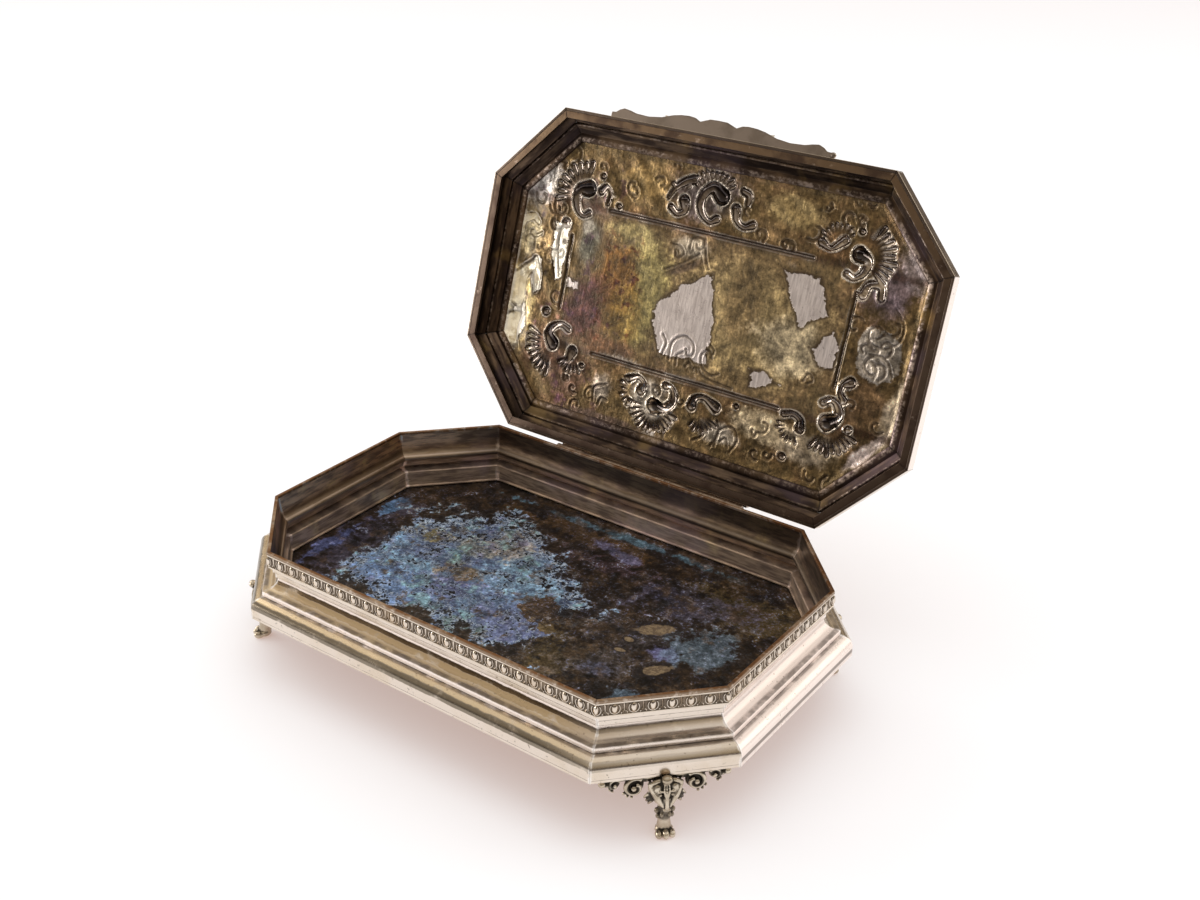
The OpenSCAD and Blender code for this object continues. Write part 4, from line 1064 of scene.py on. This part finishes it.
set_in_place(thumb, lid_place, "lid", thumb_finish, "thumbpiece")

# Hinge.
# Five lengths of drawn silver tube on one pin, soldered in turn to a plate on the back wall and to one
# on the lid's rim. They are brown, with bright rings where they rub each other.
hinge_brown, here = start_finish("hinge_tarnish")
streak = noise(here, 5, 5, 0.6)
rings = noise(stretched(here, (1, 0.02, 0.02)), 0.7, 2)
colour = blend((0.34, 0.25, 0.18), (0.1, 0.07, 0.055), streak.step(0.42, 0.66))
colour = blend(colour, (0.66, 0.55, 0.45), rings.step(0.6, 0.7) * 0.4)
rough = 0.28 + streak * 0.15
hinge_brown = end_finish(hinge_brown, colour, rough, 1, rings * 0.3 + noise(here, 2, 4), 0.04)
for name in ("hinge_plate_box", "hinge_knuckles_box", "hinge_pin", "hinge_plate_lid", "hinge_knuckles_lid"):
    node = frame["nodes"][name]
    node.data.materials.clear()
    node.data.materials.append(hinge_brown)

# Lid panel.
# One thin sheet of silver on the ledge of the lid's moulding. Its ornament is raised from inside and
# chased from outside: a framed field, a shell with scrolls at each corner and at two middles, and small
# scrolls between them. Outside it is polished; inside, tarnish and rubbed patches colour it, with
# painted reflections brightening its left end and a painted shadow along a dent.
panel_out = lid_rim_out - 10.3
panel_x, panel_y = half_l + panel_out, half_w + panel_out
panel_thickness = 0.8
texel = 0.25
flat_below = 0.06
across = np.arange(-panel_x - 1, panel_x + 1, texel)
down = np.arange(-panel_y - 1, panel_y + 1, texel)
grid_x, grid_y = np.meshgrid(across, down)
raised = np.zeros_like(grid_x)
lips = np.zeros_like(grid_x)


def press(*points, steps=4, lip=0.3):
    """Works a swelling channel into the sheet through (x, y, half width, depth) in millimetres."""
    line = through(*points, steps=steps)
    for a, b in zip(line, line[1:]):
        reach = max(a[2], b[2]) + 1.2
        columns = slice(*np.searchsorted(across, (min(a[0], b[0]) - reach, max(a[0], b[0]) + reach)))
        rows = slice(*np.searchsorted(down, (min(a[1], b[1]) - reach, max(a[1], b[1]) + reach)))
        x, y = np.meshgrid(across[columns], down[rows])
        step_x, step_y = b[0] - a[0], b[1] - a[1]
        along = ((x - a[0]) * step_x + (y - a[1]) * step_y) / (step_x ** 2 + step_y ** 2 + 1e-6)
        along = np.clip(along, 0, 1)
        away = np.hypot(x - a[0] - along * step_x, y - a[1] - along * step_y)
        width = a[2] + (b[2] - a[2]) * along
        depth = a[3] + (b[3] - a[3]) * along
        rib = 0.4 * np.exp(-(away / (0.25 * width)) ** 2)
        rib *= np.clip(width - 1, 0, 1) * np.clip(2.8 - width, 0, 1)
        hollow = depth * (np.clip(1 - (away / width) ** 2, 0, 1) ** 0.7 - rib)
        raised[rows, columns] = np.maximum(raised[rows, columns], hollow)
        ridge = np.minimum(depth * 0.5, lip) * np.exp(-((away - width - 0.35) / 0.3) ** 2)
        lips[rows, columns] = np.maximum(lips[rows, columns], ridge)


def bowl(x, y, width, depth):
    """A small round dish."""
    press((x, y, width, depth), (x + 0.3, y, width, depth), steps=1)


def shell(x, y, start, stop, count, inner, outer, depth=0.75):
    """A dished fan of flutes round a point, with sharp ridges between them and a scalloped edge."""
    wide = (stop - start) / (count - 1)
    turned = (np.degrees(np.arctan2(grid_y - y, grid_x - x)) - start + wide / 2) % 360
    far = np.hypot(grid_x - x, grid_y - y)
    flute = 1 - (turned / wide % 1 * 2 - 1) ** 2
    edge = outer + 0.8 - 1.4 * (1 - flute) + 0.6 * np.cos(turned // wide * 2.4)
    share = np.clip((far - inner + 1) / 4, 0, 1) * np.clip((edge - far) / 0.6, 0, 1)
    share *= np.clip(np.minimum(turned, wide * count - turned) * far / 30, 0, 1)
    raised[:] = np.maximum(raised, (depth * flute + 0.3) * share)


def chase(*points, width=0.5, depth=0.38):
    """A fine line of even width and depth through (x, y)."""
    press(*[(x, y, width, depth) for x, y in points], lip=0.16)


# The six large scrolls, each from its bowl to its small eye.
press((-60.3, -36, 3.5, 2.5), (-64.6, -35, 2.3, 1.9), (-65.6, -31, 1.9, 1.5), (-63.7, -26.8, 1.6, 1.2),
      (-60.8, -25, 1.2, 1), (-58.2, -26.4, 1.6, 1.4))
press((0.8, -44, 3.5, 2.6), (-3.6, -46.8, 2.4, 1.9), (-7, -44, 2, 1.6), (-7.8, -39.6, 1.8, 1.3),
      (-6.2, -36, 1.5, 1.1), (-2.6, -33.8, 1.2, 1), (0.4, -35.3, 1.7, 1.3))
press((61.6, -34.2, 3.1, 2.6), (65.3, -32.4, 1.9, 1.6), (64.6, -28.3, 1.6, 1.2), (61.5, -25.6, 1.2, 0.8),
      (58.2, -26.4, 1.5, 1.5))
press((63.6, 28.3, 3.3, 2.6), (67.4, 25.4, 2, 1.6), (66.6, 21.4, 1.7, 1.3), (63.4, 19.6, 1.3, 0.9),
      (60.4, 21.4, 1.5, 1.5))
press((-10.5, 41.6, 3.2, 2.5), (-5.6, 41.6, 2, 1.7), (-2.4, 38.2, 1.7, 1.4), (-2.8, 34.2, 1.4, 1.1),
      (-4.8, 32.4, 1.1, 0.9), (-6.9, 32.6, 1.6, 1.4))
press((-64.2, 29, 3, 2.4), (-67, 25.8, 2, 1.6), (-65.4, 22.3, 1.7, 1.3), (-61.5, 20.4, 1.3, 1),
      (-57.6, 21.6, 1.6, 1.4))
# Their lesser scrolls.
for scroll in (
        ((-54.3, -36, 1.7, 1.5), (-52, -38.2, 1.2, 1), (-49.6, -36, 1, 0.9), (-50, -31.8, 1.1, 0.9)),
        ((-15.2, -39.4, 2.5, 2), (-14.4, -36, 1.7, 1.3), (-17.4, -34.2, 1.3, 1), (-20.6, -36, 1.5, 1.5)),
        ((-22.4, -39.6, 0.9, 0.8), (-20.3, -43.6, 1.2, 1), (-16.6, -46.6, 1.7, 1.4), (-13, -48, 1.9, 1.9)),
        ((8, -40.6, 2, 1.9), (9.2, -36.6, 1.5, 1.2), (12.6, -34.6, 1.2, 1), (16.3, -36, 1.7, 1.5)),
        ((9.5, -47.6, 1.4, 1.2), (12.4, -46.4, 1.5, 1.4), (12.4, -43, 1, 0.8)),
        ((54.6, -38, 1.9, 1.8), (51.8, -35.4, 1.4, 1.1), (49.4, -34, 1, 0.9), (45.8, -35.6, 1.8, 1.5)),
        ((66.2, -20.5, 2, 1.2), (68, -24.5, 1.6, 1), (72.5, -24.6, 1.5, 1), (73.5, -20.6, 1.5, 0.9)),
        ((69.3, 11.6, 2.2, 1.8), (66.8, 13.2, 1.2, 0.9), (66.4, 16.2, 1.2, 1), (68, 18.6, 1.7, 1.7)),
        ((53.4, 33.4, 2, 1.9), (53, 30.2, 1.5, 1.2), (49.6, 28.6, 1.2, 1), (46, 29.6, 1.4, 1.3)),
        ((-17.8, 37.3, 2.1, 1.8), (-16.8, 34.2, 1.4, 1.1), (-20.2, 32.2, 1.1, 1), (-24.4, 34, 1.6, 1.6)),
        ((6.3, 37.2, 2.1, 1.8), (7.2, 34, 1.5, 1.2), (11, 32.6, 1.2, 1), (16.9, 35, 2.3, 2)),
        ((-53.8, 30, 2.4, 2), (-54.8, 33.4, 1.5, 1.1), (-57, 35.4, 0.9, 0.7)),
        ((-89.6, -12.8, 1, 0.9), (-90, -17.6, 1.6, 1.3), (-86, -20, 1.7, 1.2), (-82.4, -18, 1.3, 0.9)),
        ((-85, -13.6, 1.3, 1.1), (-83, -12.4, 0.9, 0.8), (-79.6, -14.2, 0.8, 0.6))):
    press(*scroll)
for dish in (
        (-54.6, -42, 1.3, 1.2), (-44.6, -31.8, 1.3, 1.3), (-68.4, -20.4, 2.2, 1.7), (-70.4, 16.8, 1.9, 1.6),
        (-48, 34.6, 1.2, 1.1), (-22, 43.2, 1.7, 1.6), (48.6, 45.4, 1.6, 1.2), (25.4, 32.2, 1.1, 1),
        (60.4, -42.4, 1.3, 1.2), (72.4, 28.6, 1.5, 1.4), (-75.2, -35.8, 1.6, 1.6), (-67.8, -12.8, 1, 1.2)):
    bowl(*dish)
shell(-62, -33, 165, 275, 9, 7.8, 13.4)
shell(-3.5, -41, 215, 318, 10, 8, 12.2)
shell(62.5, -33.5, -62, 38, 9, 6.8, 13.2)
shell(52, -36, 205, 320, 8, 4.6, 7.4, depth=0.6)
shell(64.5, 28, 20, 118, 9, 6.4, 12)
shell(50.5, 32.5, 70, 175, 7, 3.6, 6.8, depth=0.6)
shell(-10.5, 41.8, 12, 172, 13, 5.6, 10.8)
shell(-20, 38, 95, 215, 7, 4.4, 7.4, depth=0.6)
shell(11, 38, 30, 120, 7, 4, 8.4, depth=0.6)
shell(-64, 29, 95, 195, 9, 6.8, 13.4)
shell(-53, 30.5, 60, 140, 6, 4, 8.2, depth=0.6)
shell(-17.5, -40, 230, 300, 4, 3.6, 6.4, depth=0.7)
# Large smooth leaves at the left end, and a thin stem beside the field.
press((-81, -1, 2.4, 0.7), (-86.5, 5, 3.6, 1), (-87.4, 12, 4.6, 1.3), (-85, 18, 2, 0.5), lip=0.4)
press((-84, 20.6, 1.6, 0.5), (-87.4, 25, 4, 1.3), (-86.6, 30.6, 3.6, 1), (-82.4, 35, 1, 0.4), lip=0.4)
press((-80.2, -3, 1.8, 0.6), (-78.6, 2.4, 2.6, 0.9), (-77.8, 9, 1.6, 0.5), lip=0.4)
press((-70.8, -17.5, 0.5, 0.5), (-70.4, -9, 0.45, 0.6), (-67.4, 1.5, 0.4, 0.5), lip=0.4)
# Fine chasing: the frame of the field, the spirals at the right end and scrolls in the field.
for a, b in (((-48, -29.3), (44, -29.3)), ((-44, 28.6), (43, 28.3)), ((-64.2, -16), (-64, 14)),
             ((63.7, -20.5), (63.2, 15))):
    chase(a, b, width=0.75, depth=0.75)
for line in (
        ((80, -18), (84.5, -13), (84, -7), (79, -3.4), (73.2, -4.3), (72, -8.4), (75, -10.6), (77.6, -8.4),
         (75.6, -6.2)),
        ((84.4, 6), (82.2, 1.5), (77.6, -0.6), (73.5, 2), (73.6, 5.6), (76.6, 6.9), (78.3, 4.8), (76.4, 3.2)),
        ((-8, 22), (-7.8, 15), (-3, 11.4), (1.8, 13.6), (2.4, 17.6), (-0.2, 18.6), (-1, 16.2)),
        ((-4.4, 23.4), (-4.6, 19.6), (-2.2, 17.6)), ((-12.6, 13), (-10.4, 16), (-11.4, 20.6)),
        ((0, 23), (1.4, 21), (3, 22.6)), ((3.6, 23.4), (5, 22), (5.8, 24)),
        ((11, 17), (9, 14.2), (6.2, 17), (7.6, 21.4), (12, 23.4), (15.4, 22)),
        ((9, 12), (11.4, 14), (10.4, 16.8)), ((6, 22), (9.4, 25), (22, 26.2)),
        ((-17, -22.4), (-12.6, -22), (-10.6, -19.4), (-13.4, -17.6), (-14.6, -19.6)),
        ((-8.6, -22), (-8, -26), (-3.6, -26.8), (-2.6, -23.6), (-5, -22.6), (-5.8, -24.4)),
        ((-18, -12), (-10, -16.4), (-3.6, -21)), ((-2.6, -27), (-0.6, -20), (1.4, -16)),
        ((50.4, 15.6), (52.2, 12.4), (54.4, 14.6), (52.4, 16.2)), ((-39.4, 47), (-39.8, 41.6), (-34, 38.8)),
        ((-36.6, 48), (-35.6, 45), (-32.4, 45.4)), ((20, 49.6), (20.6, 43.2), (26, 40.6), (29, 45), (27, 50)),
        ((21.6, 47.4), (24, 45.4), (25.6, 48.6)), ((19, 40), (20.4, 44.6), (18.4, 50)),
        ((10, 50), (13.6, 47.4), (15.4, 43))):
    chase(*line)
chance = random.Random(11)
for _ in range(190):
    x = chance.uniform(-89, 89)
    y = chance.uniform(-53, 53)
    row, column = np.searchsorted(down, y), np.searchsorted(across, x)
    if (abs(x) < 66 and abs(y) < 31) or raised[row - 6:row + 7, column - 6:column + 7].max() > 0.5:
        continue
    size = chance.uniform(1.6, 4.6)
    start = chance.uniform(0, 6.3)
    hand = chance.choice((-0.5, 0.6, -0.65))
    scroll = [(x + size * (1 - 0.1 * k) * math.cos(start + hand * k),
               y + size * (1 - 0.1 * k) * math.sin(start + hand * k)) for k in range(8)]
    chase(*scroll, width=chance.uniform(0.45, 0.75), depth=chance.uniform(0.26, 0.45))

# The sheet's own shape: plain at its edge, slightly uneven, and lower beside each chased line.
edge = np.full(raised.shape, 99.0)
for side in range(len(SIDES)):
    here, there = side_ends(side, panel_out)
    along = (there - here).normalized()
    edge = np.minimum(edge, (grid_y - here.y) * along.x - (grid_x - here.x) * along.y)
sheet_waves = np.zeros_like(raised)
wave_turn = 6.28
for _ in range(16):
    turn = chance.uniform(0, 3.1)
    pitch = chance.uniform(6, 15)
    start = chance.uniform(0, 6.3)
    sheet_waves += np.sin((grid_x * math.cos(turn) + grid_y * math.sin(turn)) * wave_turn / pitch + start)
in_field = np.clip(np.minimum(62 - abs(grid_x), 27.5 - abs(grid_y)) / 3, 0, 1)
sheet_waves *= 0.035 - 0.024 * in_field
relief = raised + np.where(raised < flat_below, -lips, 0) + 0.4 + sheet_waves
# The plain plate left of the field and the panel's left end, both tipped towards the left.
slope = 0.13
tipped = np.clip(np.minimum(2.7 - abs(grid_x + 68.8), 11 - abs(grid_y + 7.5)) / 0.5, 0, 1)
relief += tipped * slope * (-66.1 - grid_x) + slope * np.clip(-79 - grid_x, 0, 9)
relief *= np.clip((edge - 2.1) / 1.4, 0, 1)

bpy.ops.mesh.primitive_grid_add(x_subdivisions=84, y_subdivisions=51, size=1)
panel = bpy.context.object
panel.name = "chased_panel"
panel.scale = (panel_x * 2 * MM, panel_y * 2 * MM, 1)
bpy.ops.object.transform_apply(location=True, rotation=True, scale=True)
draw_out((0, 0, panel_thickness))
for side in CUT_SIDES:
    cut_away(panel, (*side_ends(side, panel_out)[0], 0), (*outward_from(side, panel_out), 0))
bpy.context.tool_settings.mesh_select_mode = (False, False, True)
# The faces near worked places are divided finely and then the rest a little, first on the inner side.
# The plain oblongs of the field stay coarse: left, front, right and back.
plain = ((-60, -27, -19, 27), (-19, -15, 5, 10), (16, -27, 56, 12), (24, 12, 48, 26))
worked = np.maximum(raised * 0.5, lips)
smallest_face = 3e-6
for outside, reach, shallowest, cuts in (
        (False, 1.1, 0.12, 4), (False, 0, 0, 2), (True, 0.6, 0.2, 2), (True, 0, 0, 1)):
    bpy.ops.object.mode_set(mode="EDIT")
    bpy.ops.mesh.select_all(action="DESELECT")
    bpy.ops.object.mode_set(mode="OBJECT")
    near = round(reach / texel)
    for face in panel.data.polygons:
        on_this_side = abs(face.normal.z) > 0.5 and (face.normal.z > 0) == outside
        if face.area <= smallest_face or not on_this_side:
            continue
        x, y = face.center.x / MM, face.center.y / MM
        column, row = np.searchsorted(across, x), np.searchsorted(down, y)
        if reach:
            around = worked[row - near:row + near + 1, column - near:column + near + 1]
            face.select = around.max() > shallowest
        else:
            face.select = not any(x0 < x < x1 and y0 < y < y1 for x0, y0, x1, y1 in plain)
    bpy.ops.object.mode_set(mode="EDIT")
    bpy.ops.mesh.subdivide(number_cuts=cuts)
bpy.ops.object.mode_set(mode="OBJECT")
# Each point is lifted onto the ledge and then by the relief between the four texels round it.
places = np.empty(len(panel.data.vertices) * 3)
panel.data.vertices.foreach_get("co", places)
places = places.reshape(-1, 3)
column = np.clip((places[:, 0] / MM - across[0]) / texel, 0, len(across) - 2)
row = np.clip((places[:, 1] / MM - down[0]) / texel, 0, len(down) - 2)
i, j = row.astype(int), column.astype(int)
u, v = row - i, column - j
lift = ((relief[i, j] * (1 - v) + relief[i, j + 1] * v) * (1 - u)
        + (relief[i + 1, j] * (1 - v) + relief[i + 1, j + 1] * v) * u)
places[:, 2] += (ledge_height + lift) * MM
panel.data.vertices.foreach_set("co", places.ravel())
nearest = (row + 0.5).astype(int), (column + 0.5).astype(int)
store_on(panel, "chased_line", np.where(raised < flat_below, lips, 0)[nearest])
store_on(panel, "worked", raised[nearest])
panel.data.update()
bpy.ops.object.shade_smooth_by_angle(angle=math.radians(60))
mark_hollows(panel, 12)

tarnish_and_painted_light, here = start_finish("panel_tarnish_painted_light")
plan = in_plan(here, lid_place)
plan_x, plan_y, _ = split(plan)
depth = stored("worked")
hollow = stored("hollow")
coarse = noise(here, 17, 5, 0.62)
middling = noise(here, 5.5, 4, 0.65)
fine = noise(here, 1.9, 4, 0.7)
grain = noise(here, 0.9, 3, 0.7)
ragged = (coarse - 0.5) * 1.3 + (middling - 0.5) * 0.8 + (fine - 0.5) * 0.4
colour = blend((0.21, 0.14, 0.06), (0.1, 0.06, 0.028), (coarse + middling * 0.5).step(0.6, 0.9))
colour = clouds(
    colour, 0.05, 0.6,
    ((0.28, 0.2, 0.09), (20, 0), (48, 30), 0, 1), ((0.25, 0.2, 0.075), (-24, 0), (14, 30), 0, 0.9),
    ((0.3, 0.24, 0.1), (-34, -22), (16, 7), 0, 0.7), ((0.12, 0.08, 0.035), (20, -8), (11, 24), 0, 0.85),
    ((0.36, 0.3, 0.2), (42, 4), (20, 14), 0, 0.6), ((0.12, 0.055, 0.012), (-40, -2), (14, 22), 0, 0.85),
    ((0.14, 0.085, 0.02), (-32, 10), (12, 16), 0, 0.75),
    ((0.08, 0.035, 0.03), (-53, 12), (13, 20), 20, 0.9),
    ((0.12, 0.06, 0.03), (-38, 24), (22, 5), 0, 0.8), ((0.1, 0.095, 0.07), (-56, -14), (8, 13), 0, 0.85),
    ((0.34, 0.3, 0.24), (-58, -21), (4, 6), 0, 0.8), ((0.085, 0.07, 0.075), (-4, -43), (23, 12), 0, 0.8),
    ((0.3, 0.2, 0.08), (-34, -43), (14, 10), 0, 0.75), ((0.3, 0.22, 0.1), (33, -44), (16, 8), 0, 0.8),
    ((0.2, 0.13, 0.06), (22, -36), (14, 5), 0, 0.7), ((0.16, 0.12, 0.135), (76, -24), (12, 14), 0, 0.85),
    ((0.13, 0.08, 0.04), (76, 24), (12, 22), 0, 0.8))
colour = clouds(colour, 0.05, 0.15, ((0.3, 0.26, 0.215), (78, 0), (11, 10), 0, 0.95))
colour = clouds(
    colour, 0.05, 0.6,
    ((0.3, 0.26, 0.21), (-13, 41), (14, 12), 0, 0.85), ((0.3, 0.26, 0.21), (19, 45), (13, 6), 0, 0.85),
    ((0.52, 0.42, 0.27), (38, 37), (16, 8), 0, 0.75), ((0.09, 0.05, 0.035), (-60, 38), (22, 14), 0, 0.8),
    ((0.24, 0.2, 0.16), (-36, 42), (7, 8), 0, 0.8), ((0.09, 0.06, 0.05), (-30, 53), (30, 3), 0, 0.8),
    # Painted reflections at the left end: golden and near white over the leaves.
    ((0.6, 0.46, 0.2), (-86, 18), (10, 24), 0, 0.9), ((0.5, 0.34, 0.16), (-77, -4), (8, 14), 0, 0.75),
    ((0.98, 0.86, 0.6), (-86.5, 23), (8, 13), 0, 0.95), ((0.36, 0.3, 0.22), (-8, -22), (11, 5), 0, 0.75),
    # A painted shadow along a dent at the top of the big bare patch.
    ((0.08, 0.05, 0.03), (-9, -14.5), (13, 2.4), -27, 0.85),
    ((0.1, 0.08, 0.075), (-62, -34), (15, 12), 0, 0.6),
    ((0.085, 0.045, 0.028), (-63, 29), (15, 12), 0, 0.65),
    ((0.12, 0.065, 0.03), (50, -35), (11, 8), 0, 0.7),
    ((0.12, 0.07, 0.035), (68, 28), (10, 12), 0, 0.55),
    # Two more painted reflections at the left end, pale and golden.
    ((0.5, 0.46, 0.42), (-84, -34), (9, 14), 35, 0.85), ((0.5, 0.4, 0.22), (-86, -14), (8, 14), 0, 0.8),
    ((0.42, 0.34, 0.24), (88, 20), (5, 24), 10, 0.8), ((0.4, 0.33, 0.33), (84, -34), (7, 12), -30, 0.7),
    ((0.8, 0.66, 0.6), (80, 36), (15, 3.6), -52, 0.95), ((0.34, 0.28, 0.2), (60, 40), (16, 9), 0, 0.7))
near_rust = cloud_at((-40, 0), (17, 24), 0, 0, 0.4)
rust = (noise(here, 3.2, 3, 0.6) + (coarse - 0.5) * 0.5).step(0.54, 0.64)
colour = blend(colour, (0.05, 0.014, 0.005), rust * near_rust * 0.9)
plum = noise(here, 7, 4, 0.6).step(0.56, 0.68) * plan_x.step(-20, -50)
colour = blend(colour, (0.075, 0.03, 0.05), plum * 0.7)
at_lines = abs(plan_y - 28.4).step(2.6, 0.4).most(abs(plan_y + 29.3).step(2.6, 0.4))
colour = blend(colour, (0.05, 0.022, 0.012), at_lines * (fine + 0.1).step(0.4, 0.6) * 0.75)
brushed = noise(stretched(plan, (MM, 0.12 * MM, MM), 0.2), 0.8, 4, 0.6)
colour = scaled(colour, (fine - 0.5) * 4 + (grain - 0.5) * 2 + (middling - 0.5) * 6 + (coarse - 0.5) * 4
                + (brushed - 0.5) * 2)
bare, rim_dark = 0, 0
for corners in (
        [(-18.5, -2.5), (-6, -9), (4.6, -17.6), (7, -9), (7.6, 1), (12, 19.5), (-13, 20.5), (-18.5, 10)],
        [(33.5, -22.5), (48.5, -23), (54, -10), (44, -3.5), (39, -12)],
        [(51, 3), (58, -4.5), (62, 0), (61.5, 8.6), (55, 8.4)],
        [(28, 17), (33, 16.4), (39.5, 19.5), (29, 23.4)],
        [(-73.6, -20), (-66, -20), (-66, 2), (-69, 3.5), (-72.4, -6)],
        [(-63, 1), (-57, 1.6), (-56.6, 4.6), (-62.6, 5)],
        [(-82, -4), (-77, -4), (-75, 8), (-79, 12), (-81, 4)],
        [(-88, 18), (-82, 16), (-80, 26), (-84, 34), (-90, 30)]):
    kept = within(plan, corners) + (middling - 0.5) * 6 + (fine - 0.5) * 3
    bare = kept.step(0, 0.35).most(bare)
    rim_dark = abs(kept + 0.3).step(1.1, 0.1).most(rim_dark)
colour = blend(colour, (0.05, 0.03, 0.015), rim_dark * 0.85)
silvery = blend((0.64, 0.56, 0.51), (0.45, 0.385, 0.35), brushed.step(0.36, 0.66))
# Bare patches at the left end are painted near white, a painted highlight.
colour = blend(colour, blend(silvery, (0.98, 0.9, 0.74), plan_x.step(-62, -66)), bare)

# The scrolls and shells: glossy silver, black at the bottom of the deep bowls and bright at the crests.
# At the left end the forms are instead painted gold and near white, a painted highlight.
pressed = (depth + (fine - 0.5) * 0.5).step(0.3, 0.75)
cleaner = 0.25
for centre, reach in (((64, -30), (15, 14)), ((-12, 40), (18, 15)), ((65, 26), (13, 13)),
                      ((-66, -12), (9, 12))):
    cleaner = (cloud_at(centre, reach, 0, -0.1, 0.3) * 0.95).most(cleaner)
form = blend((0.2, 0.165, 0.15), (0.7, 0.61, 0.53), cleaner * middling.step(0.3, 0.6))
left_leaf_painted_highlight = blend((0.5, 0.38, 0.2), (0.98, 0.88, 0.66), (middling + coarse * 0.5).step(0.55, 0.85))
form = blend(form, left_leaf_painted_highlight, plan_x.step(-74, -80))
colour = blend(colour, form, pressed * 0.85)
colour = blend(colour, (0.05, 0.032, 0.02), depth.step(0.05, 0.2) * depth.step(0.7, 0.45) * 0.55)
deep = (depth + (fine - 0.5) * 0.5).step(1.15, 2) * plan_x.step(-80, -74)
colour = blend(colour, (0.03, 0.024, 0.024), deep * 0.94)
line = stored("chased_line")
worn = (-hollow + (fine - 0.5) * 0.1).step(0.12, 0.4) * (cleaner * 0.6 + 0.3)
rubbed_line = line.step(0.1, 0.3) * (fine + coarse * 0.6).step(0.6, 0.84)
worn = worn.most(rubbed_line * (cleaner * 0.6 + bare * 0.6 + 0.25))
worn = worn * (abs(plan_x) - panel_x + 2).most(abs(plan_y) - panel_y + 2).step(0.4, 0)
colour = blend(colour, (0.88, 0.79, 0.68), worn * 0.8)
in_border = (abs(plan_x) - 61).most(abs(plan_y) - 29).step(0, 2)
metal = (0.5 + in_border * 0.25 + bare * 0.1 + worn * 0.3 + pressed * 0.4).least(1)
# Less metal there and over the whole left end, so that the painted highlights show.
metal = metal - bare * plan_x.step(-62, -66) * 0.5
metal = metal * (1 - plan_x.step(-76, -84) * 0.65)
rough = 0.3 - worn * 0.1 - pressed * 0.18 + (fine - 0.5) * 0.2
bump = (middling * 1.2 + fine * 0.6 + grain * 0.25) * (1 - bare * 0.75) * (1 - pressed * 0.85) + brushed * 0.3
tarnish_and_painted_light = end_finish(tarnish_and_painted_light, colour, rough, metal, bump, 0.16)

chased, here = start_finish("panel_silver")
hollow = stored("hollow")
fine = noise(here, 1.6, 4, 0.65)
dark = (hollow + (fine - 0.5) * 0.14).step(0.02, 0.32)
colour = blend((0.8, 0.73, 0.66), (0.6, 0.5, 0.37), noise(here, 20, 5).step(0.48, 0.7) * 0.5)
colour = blend(colour, (0.05, 0.038, 0.03), dark * 0.9)
rough = 0.16 + dark * 0.3 + fine * 0.08
chased = end_finish(chased, colour, rough, 1, noise(here, 9, 3) + fine * 0.05, 0.15)
outer = [face.index for face in panel.data.polygons if face.normal.z > 0]
set_in_place(panel, lid_place, "lid", tarnish_and_painted_light, "lid_panel")
second_finish(panel, chased, outer)
